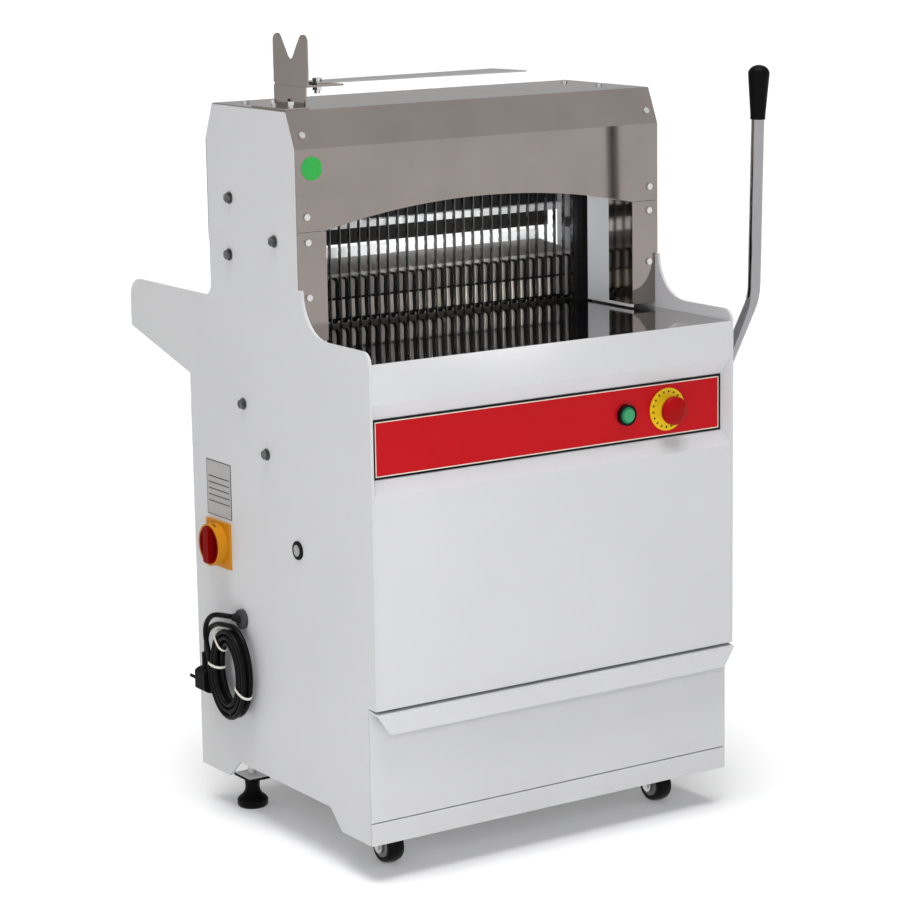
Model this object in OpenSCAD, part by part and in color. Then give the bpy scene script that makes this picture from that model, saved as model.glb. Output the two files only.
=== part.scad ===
// Floor-standing bread slicer: two interleaved blade frames in a tower, a lever-driven pusher comb,
// a crumb drawer, front casters, rear levelling feet and a bag holder on top.
// The working frame has X = 0 on the centre plane, Y = 0 on the front panel's face and Z = 0 at the
// body's lower edge. placed() moves the finished pieces so that the origin is on the floor,
// under the middle of the machine's box.

/* [Body] */
// Width over the two side panels
body_w = 600; // [560:5:680]
// Thickness of a side panel
panel_t = 4; // [3:0.5:5]
// Thickness of the folded sheets
sheet_t = 2; // [1.5:0.5:2.5]
// Height of the table above the body's lower edge
table_z = 655; // [640:5:700]
// Height of the side walls above the table
shoulder_h = 16; // [12:1:24]
// Depth of the lower body
body_d = 488; // [480:2:520]
// Height of the body's lower edge above the floor
leg_h = 55; // [52:1:65]
// How far the drawer front lies behind the front panel
setback = 17.4; // [14:0.2:22]
// Height of the plinth below the drawer
plinth_h = 30.7; // [29:0.1:36]
// Height of the front panel's lower edge
drawer_top_z = 191; // [180:1:194]

/* [Rear wings] */
// Reach of the wings behind the lower body
wing_l = 177; // [165:1:200]
// Height of the wings above the table
wing_h = 44; // [38:1:60]
// Drop of the wing's rear lower corner below the table
wing_low = 27; // [20:1:32]
// Drop of the wing's root below the table
wing_root = 75; // [70:1:85]

/* [Tower] */
// Distance of the tower's front behind the front panel
tower_y = 174.4; // [168:0.2:180]
// Depth of the tower
tower_d = 245; // [230:1:260]
// Height of the tower above the table
tower_h = 315; // [305:1:350]
// Height of the sloped facet at the tower's top
crease_drop = 50; // [30:1:60]
// Depth of that facet
crease_run = 21.4; // [10:0.2:30]
// Width of the steel strip on each side of the window
strip_w = 45; // [44:0.5:50]
// Height of the window's sides above the table
window_h = 155; // [130:1:170]
// Rise of the window's arch
arch_rise = 28.5; // [10:0.5:35]
// Height of the rear opening above the table
rear_window_h = 122; // [110:1:150]
// Thickness of the hood sheet
hood_t = 1.5; // [1:0.1:2]

/* [Blades] */
// Distance of the blades behind the front panel
blade_y = 313; // [306:1:320]
// Blade spacing, the thickness of a slice
blade_pitch = 16; // [10:0.5:20]
// Width of a blade
blade_w = 7.5; // [6:0.5:10]
// Thickness of a blade
blade_t = 1.2; // [0.8:0.1:1.6]
// Stroke of each blade frame
stroke = 40; // [30:1:40]
// Height of a frame's cross bar
frame_bar_h = 20; // [14:1:22]
// Thickness of a frame's bars
frame_t = 8; // [6:0.5:9]
// Depth of the slot in the table
slot_w = 54; // [52:1:60]

/* [Pusher] */
// How far the fingers reach in front of the blades
comb_reach = 21; // [16:1:24]
// Height of the fingers above the table
comb_h = 72; // [50:1:76]
// Thickness of a finger
finger_t = 4; // [2:0.2:5]
// Depth of the plate that carries the fingers
pusher_d = 84; // [80:1:100]
// Diameter of the guide rods
rod_d = 14; // [10:1:16]

/* [Lever] */
// Distance of the lever's pivot behind the front panel
pivot_y = 193.5; // [185:0.5:200]
// Drop of the lever shaft below the table
pivot_drop = 280.8; // [270:0.2:295]
// Gap between the side panel and the lever's tube axis
lever_gap = 45; // [30:1:70]
// Diameter of the lever tube
lever_d = 18; // [14:0.5:22]
// Length of the lower leg, from the pivot to the bend
lever_low_l = 359; // [320:1:380]
// Length of the upper leg, from the bend to the grip
lever_up_l = 250; // [200:1:300]
// Forward tilt of the lower leg
lever_tilt = 30.6; // [20:0.2:36]
// Length of the grip
grip_l = 75; // [60:1:110]
// Diameter of the grip's top
grip_d = 30; // [24:1:36]
// Diameter of the cross shaft
shaft_d = 16; // [12:1:18]
// Radius of the swing arms
arm_r = 220; // [200:1:226]
// Angle through which the lever swings back
lever_swing = 40; // [30:1:42]

/* [Drive] */
// Height of the eccentric shaft
crank_z = 293; // [290:1:300]
// Diameter of the eccentric shaft
crank_d = 25; // [20:1:26]
// Diameter of the driven pulley
driven_d = 140; // [120:2:144]
// Diameter of the motor pulley
motor_pulley_d = 60; // [50:2:66]
// Diameter of the motor
motor_d = 110; // [96:2:114]
// Length of the motor body
motor_l = 124; // [100:2:126]

/* [Drawer] */
// Free depth behind the crumb drawer
drawer_room = 46.6; // [26:0.2:106]
// Height of the drawer's box
drawer_h = 114; // [80:1:130]
// How far the handle lip stands out of the drawer front
lip_out = 22; // [16:1:24]
// Height of the handle lip
lip_h = 28; // [20:1:34]

/* [Casters and feet] */
// Diameter of a caster wheel
wheel_d = 50; // [44:1:54]
// Width of a caster wheel
wheel_w = 25; // [16:1:28]
// Caster distance from the centre plane
caster_x = 230; // [210:1:245]
// Caster wheel's distance behind the front panel
caster_y = 90; // [84:1:110]
// Trail of a caster
caster_trail = 20; // [14:1:24]
// Diameter of a levelling foot
foot_d = 45; // [36:1:50]
// Foot distance from the centre plane
foot_x = 258; // [250:1:268]
// Distance of the levelling feet from the rear of the lower body
foot_back = 71; // [60:1:80]

/* [Controls] */
// Depth of the recess that holds the control strip
recess_d = 15; // [8:0.5:18]
// Height of the control strip
control_h = 81; // [76:1:100]
// Drop of the recess below the table
recess_drop = 53; // [45:1:70]
// Start button's distance from the centre plane
start_x = 122; // [80:1:140]
// Stop button's distance from the centre plane
stop_x = 193.5; // [185:0.5:215]
// Diameter of the yellow disc behind the stop button
stop_disc_d = 60; // [50:1:66]
// Diameter of the stop button's head
stop_d = 40; // [32:1:44]
// Diameter of the start button's bezel
start_d = 29.5; // [28:0.5:34]
// Side of the main switch's plate
switch_w = 66; // [58:1:70]
// Distance of the main switch from the rear of the lower body
switch_back = 74; // [58:1:83]
// Main switch's height
switch_z = 343.5; // [330:0.5:350]

/* [Bag holder] */
// Length of the bag tongue
tongue_l = 333; // [250:1:340]
// Width of the bag tongue at its tip
tongue_w = 68; // [50:1:76]
// Height of the fork above its shelf
fork_h = 67; // [50:1:80]

/* [Cord] */
// Diameter of the mains cord
cord_d = 7.5; // [6.5:0.1:7.8]

/* [Hidden] */
$fn = 64;
// Gap between fixed sheets, gap between moving flat faces, and radial running clearance
fit = 0.2;
slip = 0.5;
run = 0.05;

// Main stations across the machine
half_w = body_w / 2;
inner_x = half_w - panel_t;
win_x = half_w - strip_w;
liner_x = inner_x - fit;

// Main heights
top_z = table_z + tower_h;
crease_z = top_z - crease_drop;
shoulder_z = table_z + shoulder_h;
wing_z = table_z + wing_h;
wing_low_z = table_z - wing_low;
wing_root_z = table_z - wing_root;
arch_z = table_z + window_h;
base_z = plinth_h - sheet_t;
tower_rear = tower_y + tower_d;
wing_y = body_d + wing_l;

// Side panel outline
low_y = setback + sheet_t + 2 * slip;
edge_y = tower_y + hood_t + fit;
edge_rear = tower_rear - hood_t - fit;
edge_top = top_z - hood_t - fit;
fillet_r = 62;
fillet_out = 6;
wing_r = 29;
rear_fillet_r = 18;
notch_y0 = 95;
notch_y1 = body_d - 81;
notch_run = 30;
notch_h = base_z - 1;

// Blade set: as many pairs as fit in the window
pair_n = floor(win_x / blade_pitch + 0.5);
blade_n = 2 * pair_n;
blade_x0 = -(pair_n - 0.5) * blade_pitch;
blade_half = blade_w / 2 + slip / 2;
frame_lift = stroke / 2;
bar_drop = 67;
bar_hide = 21.5;
bar_low_z = table_z - bar_drop - frame_bar_h - frame_lift;
bar_top_z = arch_z + arch_rise + frame_lift + bar_hide;
post_x0 = win_x + blade_t;
post_w = 8;
post_x1 = post_x0 + post_w;
guide_lip = 2.5;
guide_x1 = post_x1 + slip + 8;
guide_y0 = blade_y - blade_half - frame_t - guide_lip;
guide_y1 = blade_y + blade_half + frame_t + guide_lip;
slot_y0 = blade_y - slot_w / 2;
slot_y1 = blade_y + slot_w / 2;

// Pusher stations: drawbars beside the guides, arms beside the drawbars
drawbar_t = 6;
bar_x0 = guide_x1 + 2;
bar_x1 = bar_x0 + drawbar_t;
arm_t = 8;
arm_x0 = bar_x1 + 2.5;
arm_pin_d = 10;
arm_slot_w = arm_pin_d + 2;
arm_tilt = lever_swing / 2;
pivot_z = table_z - pivot_drop;
arm_pin_y = pivot_y - arm_r * sin(arm_tilt);
arm_pin_low = pivot_z + arm_r * cos(arm_tilt);
arm_pin_high = pivot_z + arm_r;
pusher_travel = 2 * arm_r * sin(arm_tilt);
rod_x = bar_x0 + 0.5;
rod_z = table_z - 21;
sleeve_d = rod_d + 10;
sleeve_l = 60;
comb_y = blade_y - comb_reach;
pusher_y = guide_y1 + guide_lip;
pusher_y1 = pusher_y + pusher_d;
pusher_z = table_z + comb_h - 5;
comb_low = table_z + 3;
pusher_rise = 10;
pusher_x = win_x + 5;
sleeve_y = pusher_y + 20;
block_l = 12;
block_y0 = sleeve_y - slip - block_l;
block_y1 = sleeve_y + sleeve_l + pusher_travel + 1;
block_x0 = rod_x - rod_d / 2 - 3;

// Drive stations: eccentrics on the shaft, straps beside them
throw_r = stroke / 2;
small_pin_d = 16;
strap_t = 12;
strap_bore = 2 * (crank_d / 2 + throw_r * sqrt(2) + 1);
strap_d = strap_bore + 20;
rear_strap_x = 106;
front_strap_x = 146;
ecc_t = strap_t - slip;
small_end_d = 26;
pin_room = 7;
pin_z = bar_low_z - stroke - small_end_d / 2 - pin_room;
conrod_l = pin_z - crank_z;
lug_t = 4;
lug_gap = 1;
pulley_x = 60;
pulley_w = 14;
beam_z = 206;
beam_h = 12;
beam_w = 30;
motor_y = 420;
motor_z = 272;
motor_x1 = 38;
motor_x0 = motor_x1 - motor_l;
motor_shaft_d = 19;
belt_gap = 0.3;
belt_w = 9;
belt_t = 6;
pedestal_x = 190;
pedestal_w = 28;

// Lever stations
lever_x = half_w + lever_gap;
hub_d = 34;
hub_w = 30;
bend_r = 70;
lever_up_tilt = 1.6;
bend_a = lever_tilt - lever_up_tilt;
bend_cut = bend_r * tan(bend_a / 2);
grip_crown = grip_d * 0.4;
bush_d = shaft_d + 6;
bush_flange_d = shaft_d + 10;
bush_flange_t = 2;
bush_l = panel_t + 1;

// Front recess
recess_top = table_z - recess_drop;
bevel_top = 22;
bevel_low = 20;
bevel_x = 7.5;
strip_top = recess_top - bevel_top;
strip_low = strip_top - control_h;
recess_low = strip_low - bevel_low;
control_z = (strip_top + strip_low) / 2;
strip_t = 1;
barrel_d = 22;
barrel_l = 30;

// Stop button, start button and main switch
stop_collar = 3;
stop_disc_t = 1.5;
stop_travel = 4;
stop_head_h = 16;
stop_head_y = recess_d - strip_t - stop_disc_t - stop_collar - stop_travel - slip;
stop_front = stop_head_y - stop_head_h;
stop_stem_d = 14;
start_bezel_h = 6;
start_cap_d = 18;
start_cap_out = 3;
start_travel = 3;
start_cap_l = 9;
switch_y = body_d - switch_back;
switch_t = 4;
collar_d = 60;
collar_l = 15;
knob_d = 54;
knob_out = 5.5;

// Drawer
drawer_z = plinth_h + 5.3;
drawer_x = inner_x - 16;
drawer_y = setback + sheet_t;
drawer_d = body_d - sheet_t - drawer_room - drawer_y;
lip_front = setback - lip_out;

// Casters
axle_d = 10;
axle_z = wheel_d / 2 - leg_h;
fork_t = 3;
fork_x = wheel_w / 2 + 1.5;
king_d = 12;
king_y = caster_y - caster_trail;
mount_t = 3;
fork_top = base_z - mount_t - 1;
foot_stem_d = 12;
foot_y = body_d - foot_back;

// Bag holder
bracket_t = 2.5;
bracket_y0 = tower_y + 29;
bracket_l = 89;
bracket_x0 = -half_w + 3;
bracket_w = 38;
bracket_x1 = bracket_x0 + bracket_w;
shelf_h = 31;
shelf_z = top_z + shelf_h;
shelf_w = 54;
tongue_y = bracket_y0 + bracket_l / 2 - 5;
tongue_bolt_x = bracket_x1 + 36;
tongue_bolt_d = 8;
tongue_root_w = 40;
tongue_back = 12;

// Fasteners: places of the side bolts, as distance behind the front panel and height
guide_bolts = [[blade_y + 43, table_z + 187], [blade_y + 48, table_z + 108], [blade_y + 21, table_z - 98]];
wall_bolt = [tower_y + 61.6, table_z + 138];
brace_bolt = [tower_y + 97.6, table_z - 160];
side_bolts_at = concat(guide_bolts, [wall_bolt, brace_bolt]);
bolt_d = 8;
bolt_head = 13;
bolt_head_h = 5;
washer_d = 17;
washer_t = 1.5;
bolt_seat = 14;
screw_d = 5;
screw_head_d = 9;
screw_head_h = 2.6;
screw_x = half_w - 15;
hood_screw_z = [arch_z + 20];
strip_screw_z = [arch_z - 14, arch_z - 88];
cover_screw_x = half_w - 31;
cover_screw_in = [99, 60];
cover_screw_y = [tower_y + cover_screw_in[0], tower_rear - cover_screw_in[1]];
cover_screws = [
    [cover_screw_x, cover_screw_y[0]], [cover_screw_x, cover_screw_y[1]], [-cover_screw_x, cover_screw_y[1]]
];

// Cord route: gland and boot, hand points to the coil on the left panel, hand points on to the plug
gland = [body_d - 135, 245];
gland_d = 28;
gland_out = 6;
boot_dir = unit([-0.72, 0.68, 0.14]);
boot_l = 16;
boot_d = 17;
coil_c = [body_d - 122, 166];
coil_ry = 52;
coil_rz = 67;
coil_step = 8.8;
coil_start = 0;
coil_end = 85;
coil_turns = 6 - (coil_end - coil_start) / 360;
coil_rings = 24;
coil_x2 = -half_w - 21;
coil_x1 = coil_x2 + coil_step;
plug_c = [coil_c[0] + 72, 140];
plug_x = -half_w - 15;
plug_d = 36;
plug_w = 26;
plug_l = 28;
plug_sleeve = 22;
lead_ease = 14;
lead_rings = 4;
lead_in_points = [[-half_w - 31, coil_c[0] + 30, 246], [-half_w - 31, coil_c[0] + 50, 222]];
lead_out_points = [[-half_w - 12, coil_c[0] + 44, 229], [-half_w - 14, coil_c[0] + 68, 216]];

// Box of the machine, which sets the origin
box_x1 = lever_x + max(grip_d, hub_w) / 2;
box_x0 = -half_w - switch_t - collar_l - knob_out;
grip_front = pivot_y - lever_low_l * sin(lever_tilt)
    - (lever_up_l + grip_l - grip_crown) * sin(lever_up_tilt) - grip_d / 2 * cos(lever_up_tilt);
box_y0 = min(stop_front, lip_front, grip_front);
origin = [(box_x0 + box_x1) / 2, (box_y0 + wing_y) / 2, -leg_h];

// Colours
paint = [0.93, 0.93, 0.92];
steel = [0.62, 0.58, 0.56];
bright = [0.75, 0.75, 0.76];
dark = [0.12, 0.12, 0.13];
zinc = [0.7, 0.71, 0.72];
black = [0.05, 0.05, 0.05];
grey = [0.4, 0.41, 0.42];
red = [0.8, 0.06, 0.08];
yellow = [0.95, 0.75, 0.05];
green = [0.05, 0.6, 0.3];

// Moves a piece from the working frame to the floor frame
module placed() {
    translate(-origin) children();
}

// Outline in Y and Z, pushed along X
module yz(x0, t) {
    translate([x0, 0, 0]) rotate([90, 0, 90]) linear_extrude(t) children();
}

// Outline in X and Z, pushed along Y
module xz(y0, t) {
    translate([0, y0 + t, 0]) rotate([90, 0, 0]) linear_extrude(t) children();
}

// Outline in X and Y, pushed along Z
module xy(z0, t) {
    translate([0, 0, z0]) linear_extrude(t) children();
}

module x_cyl(x0, l, y, z, d) {
    translate([x0, y, z]) rotate([0, 90, 0]) cylinder(d = d, h = l);
}

module y_cyl(y0, l, x, z, d) {
    translate([x, y0, z]) rotate([-90, 0, 0]) cylinder(d = d, h = l);
}

module z_cyl(z0, l, x, y, d) {
    translate([x, y, z0]) cylinder(d = d, h = l);
}

// Box between two corners
module box(a, b) {
    translate(a) cube(b - a);
}

module both_sides() {
    children();
    mirror([1, 0, 0]) children();
}

function arc(y, z, r, a0, a1, n = 8) = [
    for (i = [0 : n]) let (a = a0 + (a1 - a0) * i / n) [y + r * cos(a), z + r * sin(a)]
];

// Height of the wing's lower edge at a distance behind the front panel
function wing_edge(y) = wing_root_z + (wing_low_z - wing_root_z) * (y - body_d) / wing_l;

// Side panels
module side_outline() {
    polygon(concat(
        [[low_y, 0], [notch_y0, 0], [notch_y0 + notch_run, notch_h], [notch_y1 - notch_run, notch_h],
         [notch_y1, 0], [body_d, 0], [body_d, wing_root_z], [wing_y, wing_low_z]],
        arc(wing_y - wing_r, wing_z - wing_r, wing_r, 0, 90),
        arc(edge_rear + rear_fillet_r, wing_z + rear_fillet_r, rear_fillet_r, 270, 180),
        [[edge_rear, crease_z], [edge_rear - crease_run, edge_top], [edge_y + crease_run, edge_top],
         [edge_y, crease_z], [edge_y, shoulder_z + fillet_r]],
        arc(tower_y - fillet_out - fillet_r, shoulder_z + fillet_r, fillet_r, 0, -90),
        arc(shoulder_h, table_z, shoulder_h, 90, 180),
        [[0, drawer_top_z], [low_y, drawer_top_z]]
    ));
}

module side_panel(x0) {
    difference() {
        yz(x0, panel_t) side_outline();
        for (p = side_bolts_at) x_cyl(x0 - 1, panel_t + 2, p[0], p[1], bolt_d + 2 * fit);
        x_cyl(x0 - 1, panel_t + 2, pivot_y, pivot_z, bush_d + 2 * fit);
        children();
    }
}

module left_side_panel() {
    color(paint) placed() side_panel(-half_w) {
        union() {
            x_cyl(-half_w - 1, panel_t + 2, gland[0], gland[1], gland_d - 6);
            x_cyl(-half_w - 1, panel_t + 2, switch_y, switch_z, barrel_d + 2 * fit);
        }
    }
}

module right_side_panel() {
    color(paint) placed() side_panel(inner_x) union() {}
}

// Front panel with the bevelled recess of the control strip
module recess_outline() {
    polygon([[-1, recess_low - bevel_low / recess_d], [recess_d, strip_low], [recess_d, strip_top],
             [-1, recess_top + bevel_top / recess_d]]);
}

module front_panel() {
    low = drawer_top_z;
    color(paint) placed() difference() {
        union() {
            yz(-liner_x, 2 * liner_x) polygon([
                [0, low], [0, recess_low], [recess_d, strip_low], [recess_d, strip_top], [0, recess_top],
                [0, table_z], [sheet_t, table_z], [sheet_t, recess_top],
                [recess_d + sheet_t, strip_top], [recess_d + sheet_t, strip_low],
                [sheet_t, recess_low], [sheet_t, low]
            ]);
            both_sides() intersection() {
                yz(0, liner_x) recess_outline();
                xy(recess_low, recess_top - recess_low)
                    polygon([[liner_x, 0], [liner_x, recess_d], [liner_x - bevel_x, recess_d]]);
            }
        }
        for (x = [start_x, stop_x]) y_cyl(0, recess_d + 2 * sheet_t, x, control_z, barrel_d + 2 * fit);
    }
}

module control_strip() {
    x = liner_x - bevel_x - slip;
    color(red) placed() difference() {
        box([-x, recess_d - strip_t, strip_low + slip], [x, recess_d, strip_top - slip]);
        for (s = [start_x, stop_x]) y_cyl(0, recess_d + sheet_t, s, control_z, barrel_d + 2 * fit);
    }
}

// Base tray with its plinth, and the rear panel with the sloped floor between the wings
module base_plate() {
    color(paint) placed() difference() {
        union() {
            box([-liner_x, setback, base_z], [liner_x, body_d - sheet_t - fit, plinth_h]);
            box([-half_w, setback, 0], [half_w, setback + sheet_t, plinth_h]);
        }
        both_sides() z_cyl(base_z - 1, sheet_t + 2, foot_x, foot_y, foot_stem_d + 2);
    }
}

rear_wall_y = wing_y - 33;

module rear_panel() {
    y1 = rear_wall_y + sheet_t;
    color(paint) placed() yz(-liner_x, 2 * liner_x) polygon([
        [body_d - sheet_t, plinth_h], [body_d, plinth_h], [body_d, wing_root_z], [y1, wing_edge(y1)],
        [y1, wing_edge(y1) + sheet_t], [body_d - sheet_t, wing_root_z + sheet_t]
    ]);
}

// Tower covers
module top_cover() {
    y0 = tower_y + crease_run + hood_t + fit;
    y1 = tower_rear - crease_run - hood_t - fit;
    color(bright) placed() difference() {
        box([-half_w, y0, top_z - hood_t], [half_w, y1, top_z]);
        for (p = concat(cover_screws, bracket_screws)) z_cyl(top_z - 5, 10, p[0], p[1], screw_d + 2 * fit);
    }
}

module hood_profile(low_z) {
    polygon([[0, low_z], [0, crease_z], [crease_run, top_z], [crease_run + hood_t, top_z],
             [hood_t, crease_z], [hood_t, low_z]]);
}

function arch_radius() = (win_x * win_x + arch_rise * arch_rise) / (2 * arch_rise);

// Places a screw, or its hole, square to the sloped facet
facet_a = atan(crease_run / crease_drop);

module on_facet(x) {
    translate([x, tower_y + crease_run * 0.35, crease_z + crease_drop * 0.35])
        rotate([90 - facet_a, 0, 0]) children();
}

module front_hood() {
    color(steel) placed() difference() {
        translate([0, tower_y, 0]) yz(-half_w, body_w) hood_profile(arch_z);
        y_cyl(tower_y - 1, hood_t + 2, 0, arch_z + arch_rise - arch_radius(), 2 * arch_radius());
        both_sides() {
            for (z = hood_screw_z) y_cyl(tower_y - 1, hood_t + 2, screw_x, z, screw_d + 2 * fit);
            on_facet(screw_x) translate([0, 0, -5]) cylinder(d = screw_d + 2 * fit, h = 10);
        }
    }
}

module rear_hood() {
    low = table_z + rear_window_h;
    lip = 10;
    color(paint) placed() {
        translate([0, tower_rear, 0]) mirror([0, 1, 0]) yz(-half_w, body_w) hood_profile(low);
        box([-liner_x, edge_rear - lip, low], [liner_x, tower_rear - hood_t, low + lip]);
    }
}

// Polished strips beside the window, each with a flange turned back along the bread channel
strip_flange = 57;

module front_strips() {
    foot_z = table_z + 7;
    wide_z = shoulder_z + fillet_r + slip;
    color(steel) placed() both_sides() difference() {
        union() {
            box([win_x, tower_y, wide_z], [half_w, tower_y + hood_t, arch_z - slip]);
            box([win_x, tower_y, foot_z], [inner_x - slip, tower_y + hood_t, wide_z]);
            box([win_x, tower_y, foot_z], [win_x + hood_t, tower_y + strip_flange, arch_z - slip]);
        }
        for (z = strip_screw_z) y_cyl(tower_y - 1, hood_t + 2, screw_x - 1, z, screw_d + 2 * fit);
    }
}

// White inner walls of the bread channel, each on a tube that takes a side bolt
wall_x = win_x + hood_t + fit;
wall_t = 2;
wall_lift = 2.5;

module channel_walls() {
    color(paint) placed() both_sides() difference() {
        union() {
            box([wall_x, tower_y + hood_t + 1, table_z + wall_lift],
                [wall_x + wall_t, slot_y0, bar_top_z + frame_bar_h]);
            x_cyl(wall_x, inner_x - wall_x, wall_bolt[0], wall_bolt[1], 2 * bolt_d);
        }
        x_cyl(inner_x - bolt_seat, bolt_seat + 1, wall_bolt[0], wall_bolt[1], bolt_d + 2 * fit);
    }
}

// Front table, polished, with its front edge turned down behind the front panel
module front_table() {
    y0 = sheet_t + fit;
    color(bright) placed() {
        box([-liner_x, y0, table_z - sheet_t], [liner_x, slot_y0, table_z]);
        box([-liner_x, y0, table_z - 25], [liner_x, y0 + sheet_t, table_z]);
        box([-liner_x, slot_y0 - sheet_t, table_z - 20], [liner_x, slot_y0, table_z]);
    }
}

// Rear table, narrower so that the pusher's side plates pass, with its rear edge turned down
module rear_table() {
    x = win_x - 1;
    ear_x = block_x0 - fit;
    color(bright) placed() {
        box([-x, slot_y1, table_z - sheet_t], [x, rear_wall_y + sheet_t, table_z]);
        box([-ear_x, slot_y1, table_z - 30], [ear_x, slot_y1 + sheet_t, table_z - sheet_t]);
        box([-liner_x, rear_wall_y, wing_edge(rear_wall_y) + 2 * sheet_t],
            [liner_x, rear_wall_y + sheet_t, table_z]);
    }
}

// Vertical guides of the blade frames, with lugs that reach the side panels
module guide_pocket(y0) {
    box([post_x0 - 5, y0 - slip, bar_low_z - stroke], [post_x1 + slip, y0 + frame_t + slip, top_z]);
}

module blade_guides() {
    lug_h = 14;
    color(grey) placed() both_sides() difference() {
        union() {
            box([post_x0 - 1, guide_y0, guide_bolts[2][1] - lug_h / 2], [guide_x1, guide_y1, bar_top_z]);
            for (p = guide_bolts)
                box([guide_x1 - 1, guide_y0, p[1] - lug_h / 2],
                    [inner_x, p[0] + lug_h / 2, p[1] + lug_h / 2]);
        }
        guide_pocket(blade_y - blade_half - frame_t);
        guide_pocket(blade_y + blade_half);
        for (p = guide_bolts) x_cyl(inner_x - bolt_seat, bolt_seat + 1, p[0], p[1], bolt_d + 2 * fit);
    }
}

// A blade frame at the top (side = -1, front) or the bottom (side = 1, rear) of its stroke
module frame_bars(side) {
    y0 = side < 0 ? blade_y - blade_half - frame_t : blade_y + blade_half;
    strap_x = side < 0 ? front_strap_x : rear_strap_x;
    lug_top = pin_z + small_end_d / 2 - 1;
    translate([0, 0, -side * frame_lift]) {
        for (z = [bar_low_z, bar_top_z])
            box([-post_x1, y0, z], [post_x1, y0 + frame_t, z + frame_bar_h]);
        both_sides() {
            box([post_x0, y0, bar_low_z], [post_x1, y0 + frame_t, bar_top_z + frame_bar_h]);
            for (x = [strap_x - lug_gap - lug_t, strap_x + strap_t + lug_gap]) {
                box([x, y0, pin_z - small_end_d / 2], [x + lug_t, y0 + frame_t, bar_low_z + 1]);
                box([x, blade_y - 12, pin_z - small_end_d / 2], [x + lug_t, blade_y + 12, lug_top]);
            }
            x_cyl(strap_x - lug_gap - 1, strap_t + 2 * lug_gap + 2, blade_y, pin_z, small_pin_d);
        }
    }
}

module front_blade_frame() {
    color(grey) placed() frame_bars(-1);
}

module rear_blade_frame() {
    color(grey) placed() frame_bars(1);
}

// Blades of one frame: every second blade of the set
module blade_set(side) {
    y0 = side < 0 ? blade_y - blade_half : blade_y + blade_half - blade_w;
    first = side < 0 ? 0 : 1;
    for (i = [first : 2 : blade_n - 1])
        translate([blade_x0 + i * blade_pitch - blade_t / 2, y0, bar_low_z - side * frame_lift])
            cube([blade_t, blade_w, bar_top_z + frame_bar_h - bar_low_z]);
}

module front_blades() {
    color(bright) placed() blade_set(-1);
}

module rear_blades() {
    color(bright) placed() blade_set(1);
}

// Connecting rods: strap round an eccentric below, small end on the frame's pin above
module conrods(side) {
    x = side < 0 ? front_strap_x : rear_strap_x;
    z = crank_z - side * throw_r;
    shank = 18;
    both_sides() difference() {
        union() {
            x_cyl(x, strap_t, blade_y, z, strap_d);
            x_cyl(x, strap_t, blade_y, z + conrod_l, small_end_d);
            box([x, blade_y - shank / 2, z], [x + strap_t, blade_y + shank / 2, z + conrod_l]);
        }
        x_cyl(x - 1, strap_t + 2, blade_y, z, strap_bore);
        x_cyl(x - 1, strap_t + 2, blade_y, z + conrod_l, small_pin_d + 2 * run);
    }
}

module front_conrods() {
    color(zinc) placed() conrods(-1);
}

module rear_conrods() {
    color(zinc) placed() conrods(1);
}

// Eccentric shaft: the front pair of eccentrics points up and the rear pair down
module crankshaft() {
    l = 2 * (pedestal_x + pedestal_w + 6);
    color(zinc) placed() {
        x_cyl(-l / 2, l, blade_y, crank_z, crank_d);
        both_sides() {
            x_cyl(front_strap_x - slip - ecc_t, ecc_t, blade_y, crank_z + throw_r, strap_bore - 2 * run);
            x_cyl(rear_strap_x - slip - ecc_t, ecc_t, blade_y, crank_z - throw_r, strap_bore - 2 * run);
        }
    }
}

module crank_bearings() {
    color(grey) placed() both_sides() difference() {
        union() {
            box([pedestal_x, blade_y - beam_w / 2, beam_z],
                [pedestal_x + pedestal_w, blade_y + beam_w / 2, crank_z]);
            x_cyl(pedestal_x, pedestal_w, blade_y, crank_z, crank_d + 26);
        }
        x_cyl(pedestal_x - 1, pedestal_w + 2, blade_y, crank_z, crank_d + 2 * run);
    }
}

// Cross beams between the side panels: one under the bearings, two under the motor
module beam(y) {
    wall = 2;
    difference() {
        box([-inner_x, y - beam_w / 2, beam_z - beam_h], [inner_x, y + beam_w / 2, beam_z]);
        box([-inner_x - 1, y - beam_w / 2 + wall, beam_z - beam_h + wall],
            [inner_x + 1, y + beam_w / 2 - wall, beam_z - wall]);
    }
}

module cross_beams() {
    color(paint) placed() for (y = [blade_y, motor_y - 36, motor_y + 36]) beam(y);
}

// Pulley with a V groove, turned about X
module pulley(x, y, z, d, bore) {
    groove = 7;
    translate([x, y, z]) rotate([0, 90, 0]) rotate_extrude() polygon([
        [bore / 2, -pulley_w / 2], [d / 2 + 2, -pulley_w / 2], [d / 2 + 2, -belt_w / 2 - 1],
        [d / 2 - groove, -belt_w / 2 + 1], [d / 2 - groove, belt_w / 2 - 1], [d / 2 + 2, belt_w / 2 + 1],
        [d / 2 + 2, pulley_w / 2], [bore / 2, pulley_w / 2]
    ]);
}

module driven_pulley() {
    color(grey) placed() pulley(pulley_x, blade_y, crank_z, driven_d, crank_d + 2 * run);
}

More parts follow.
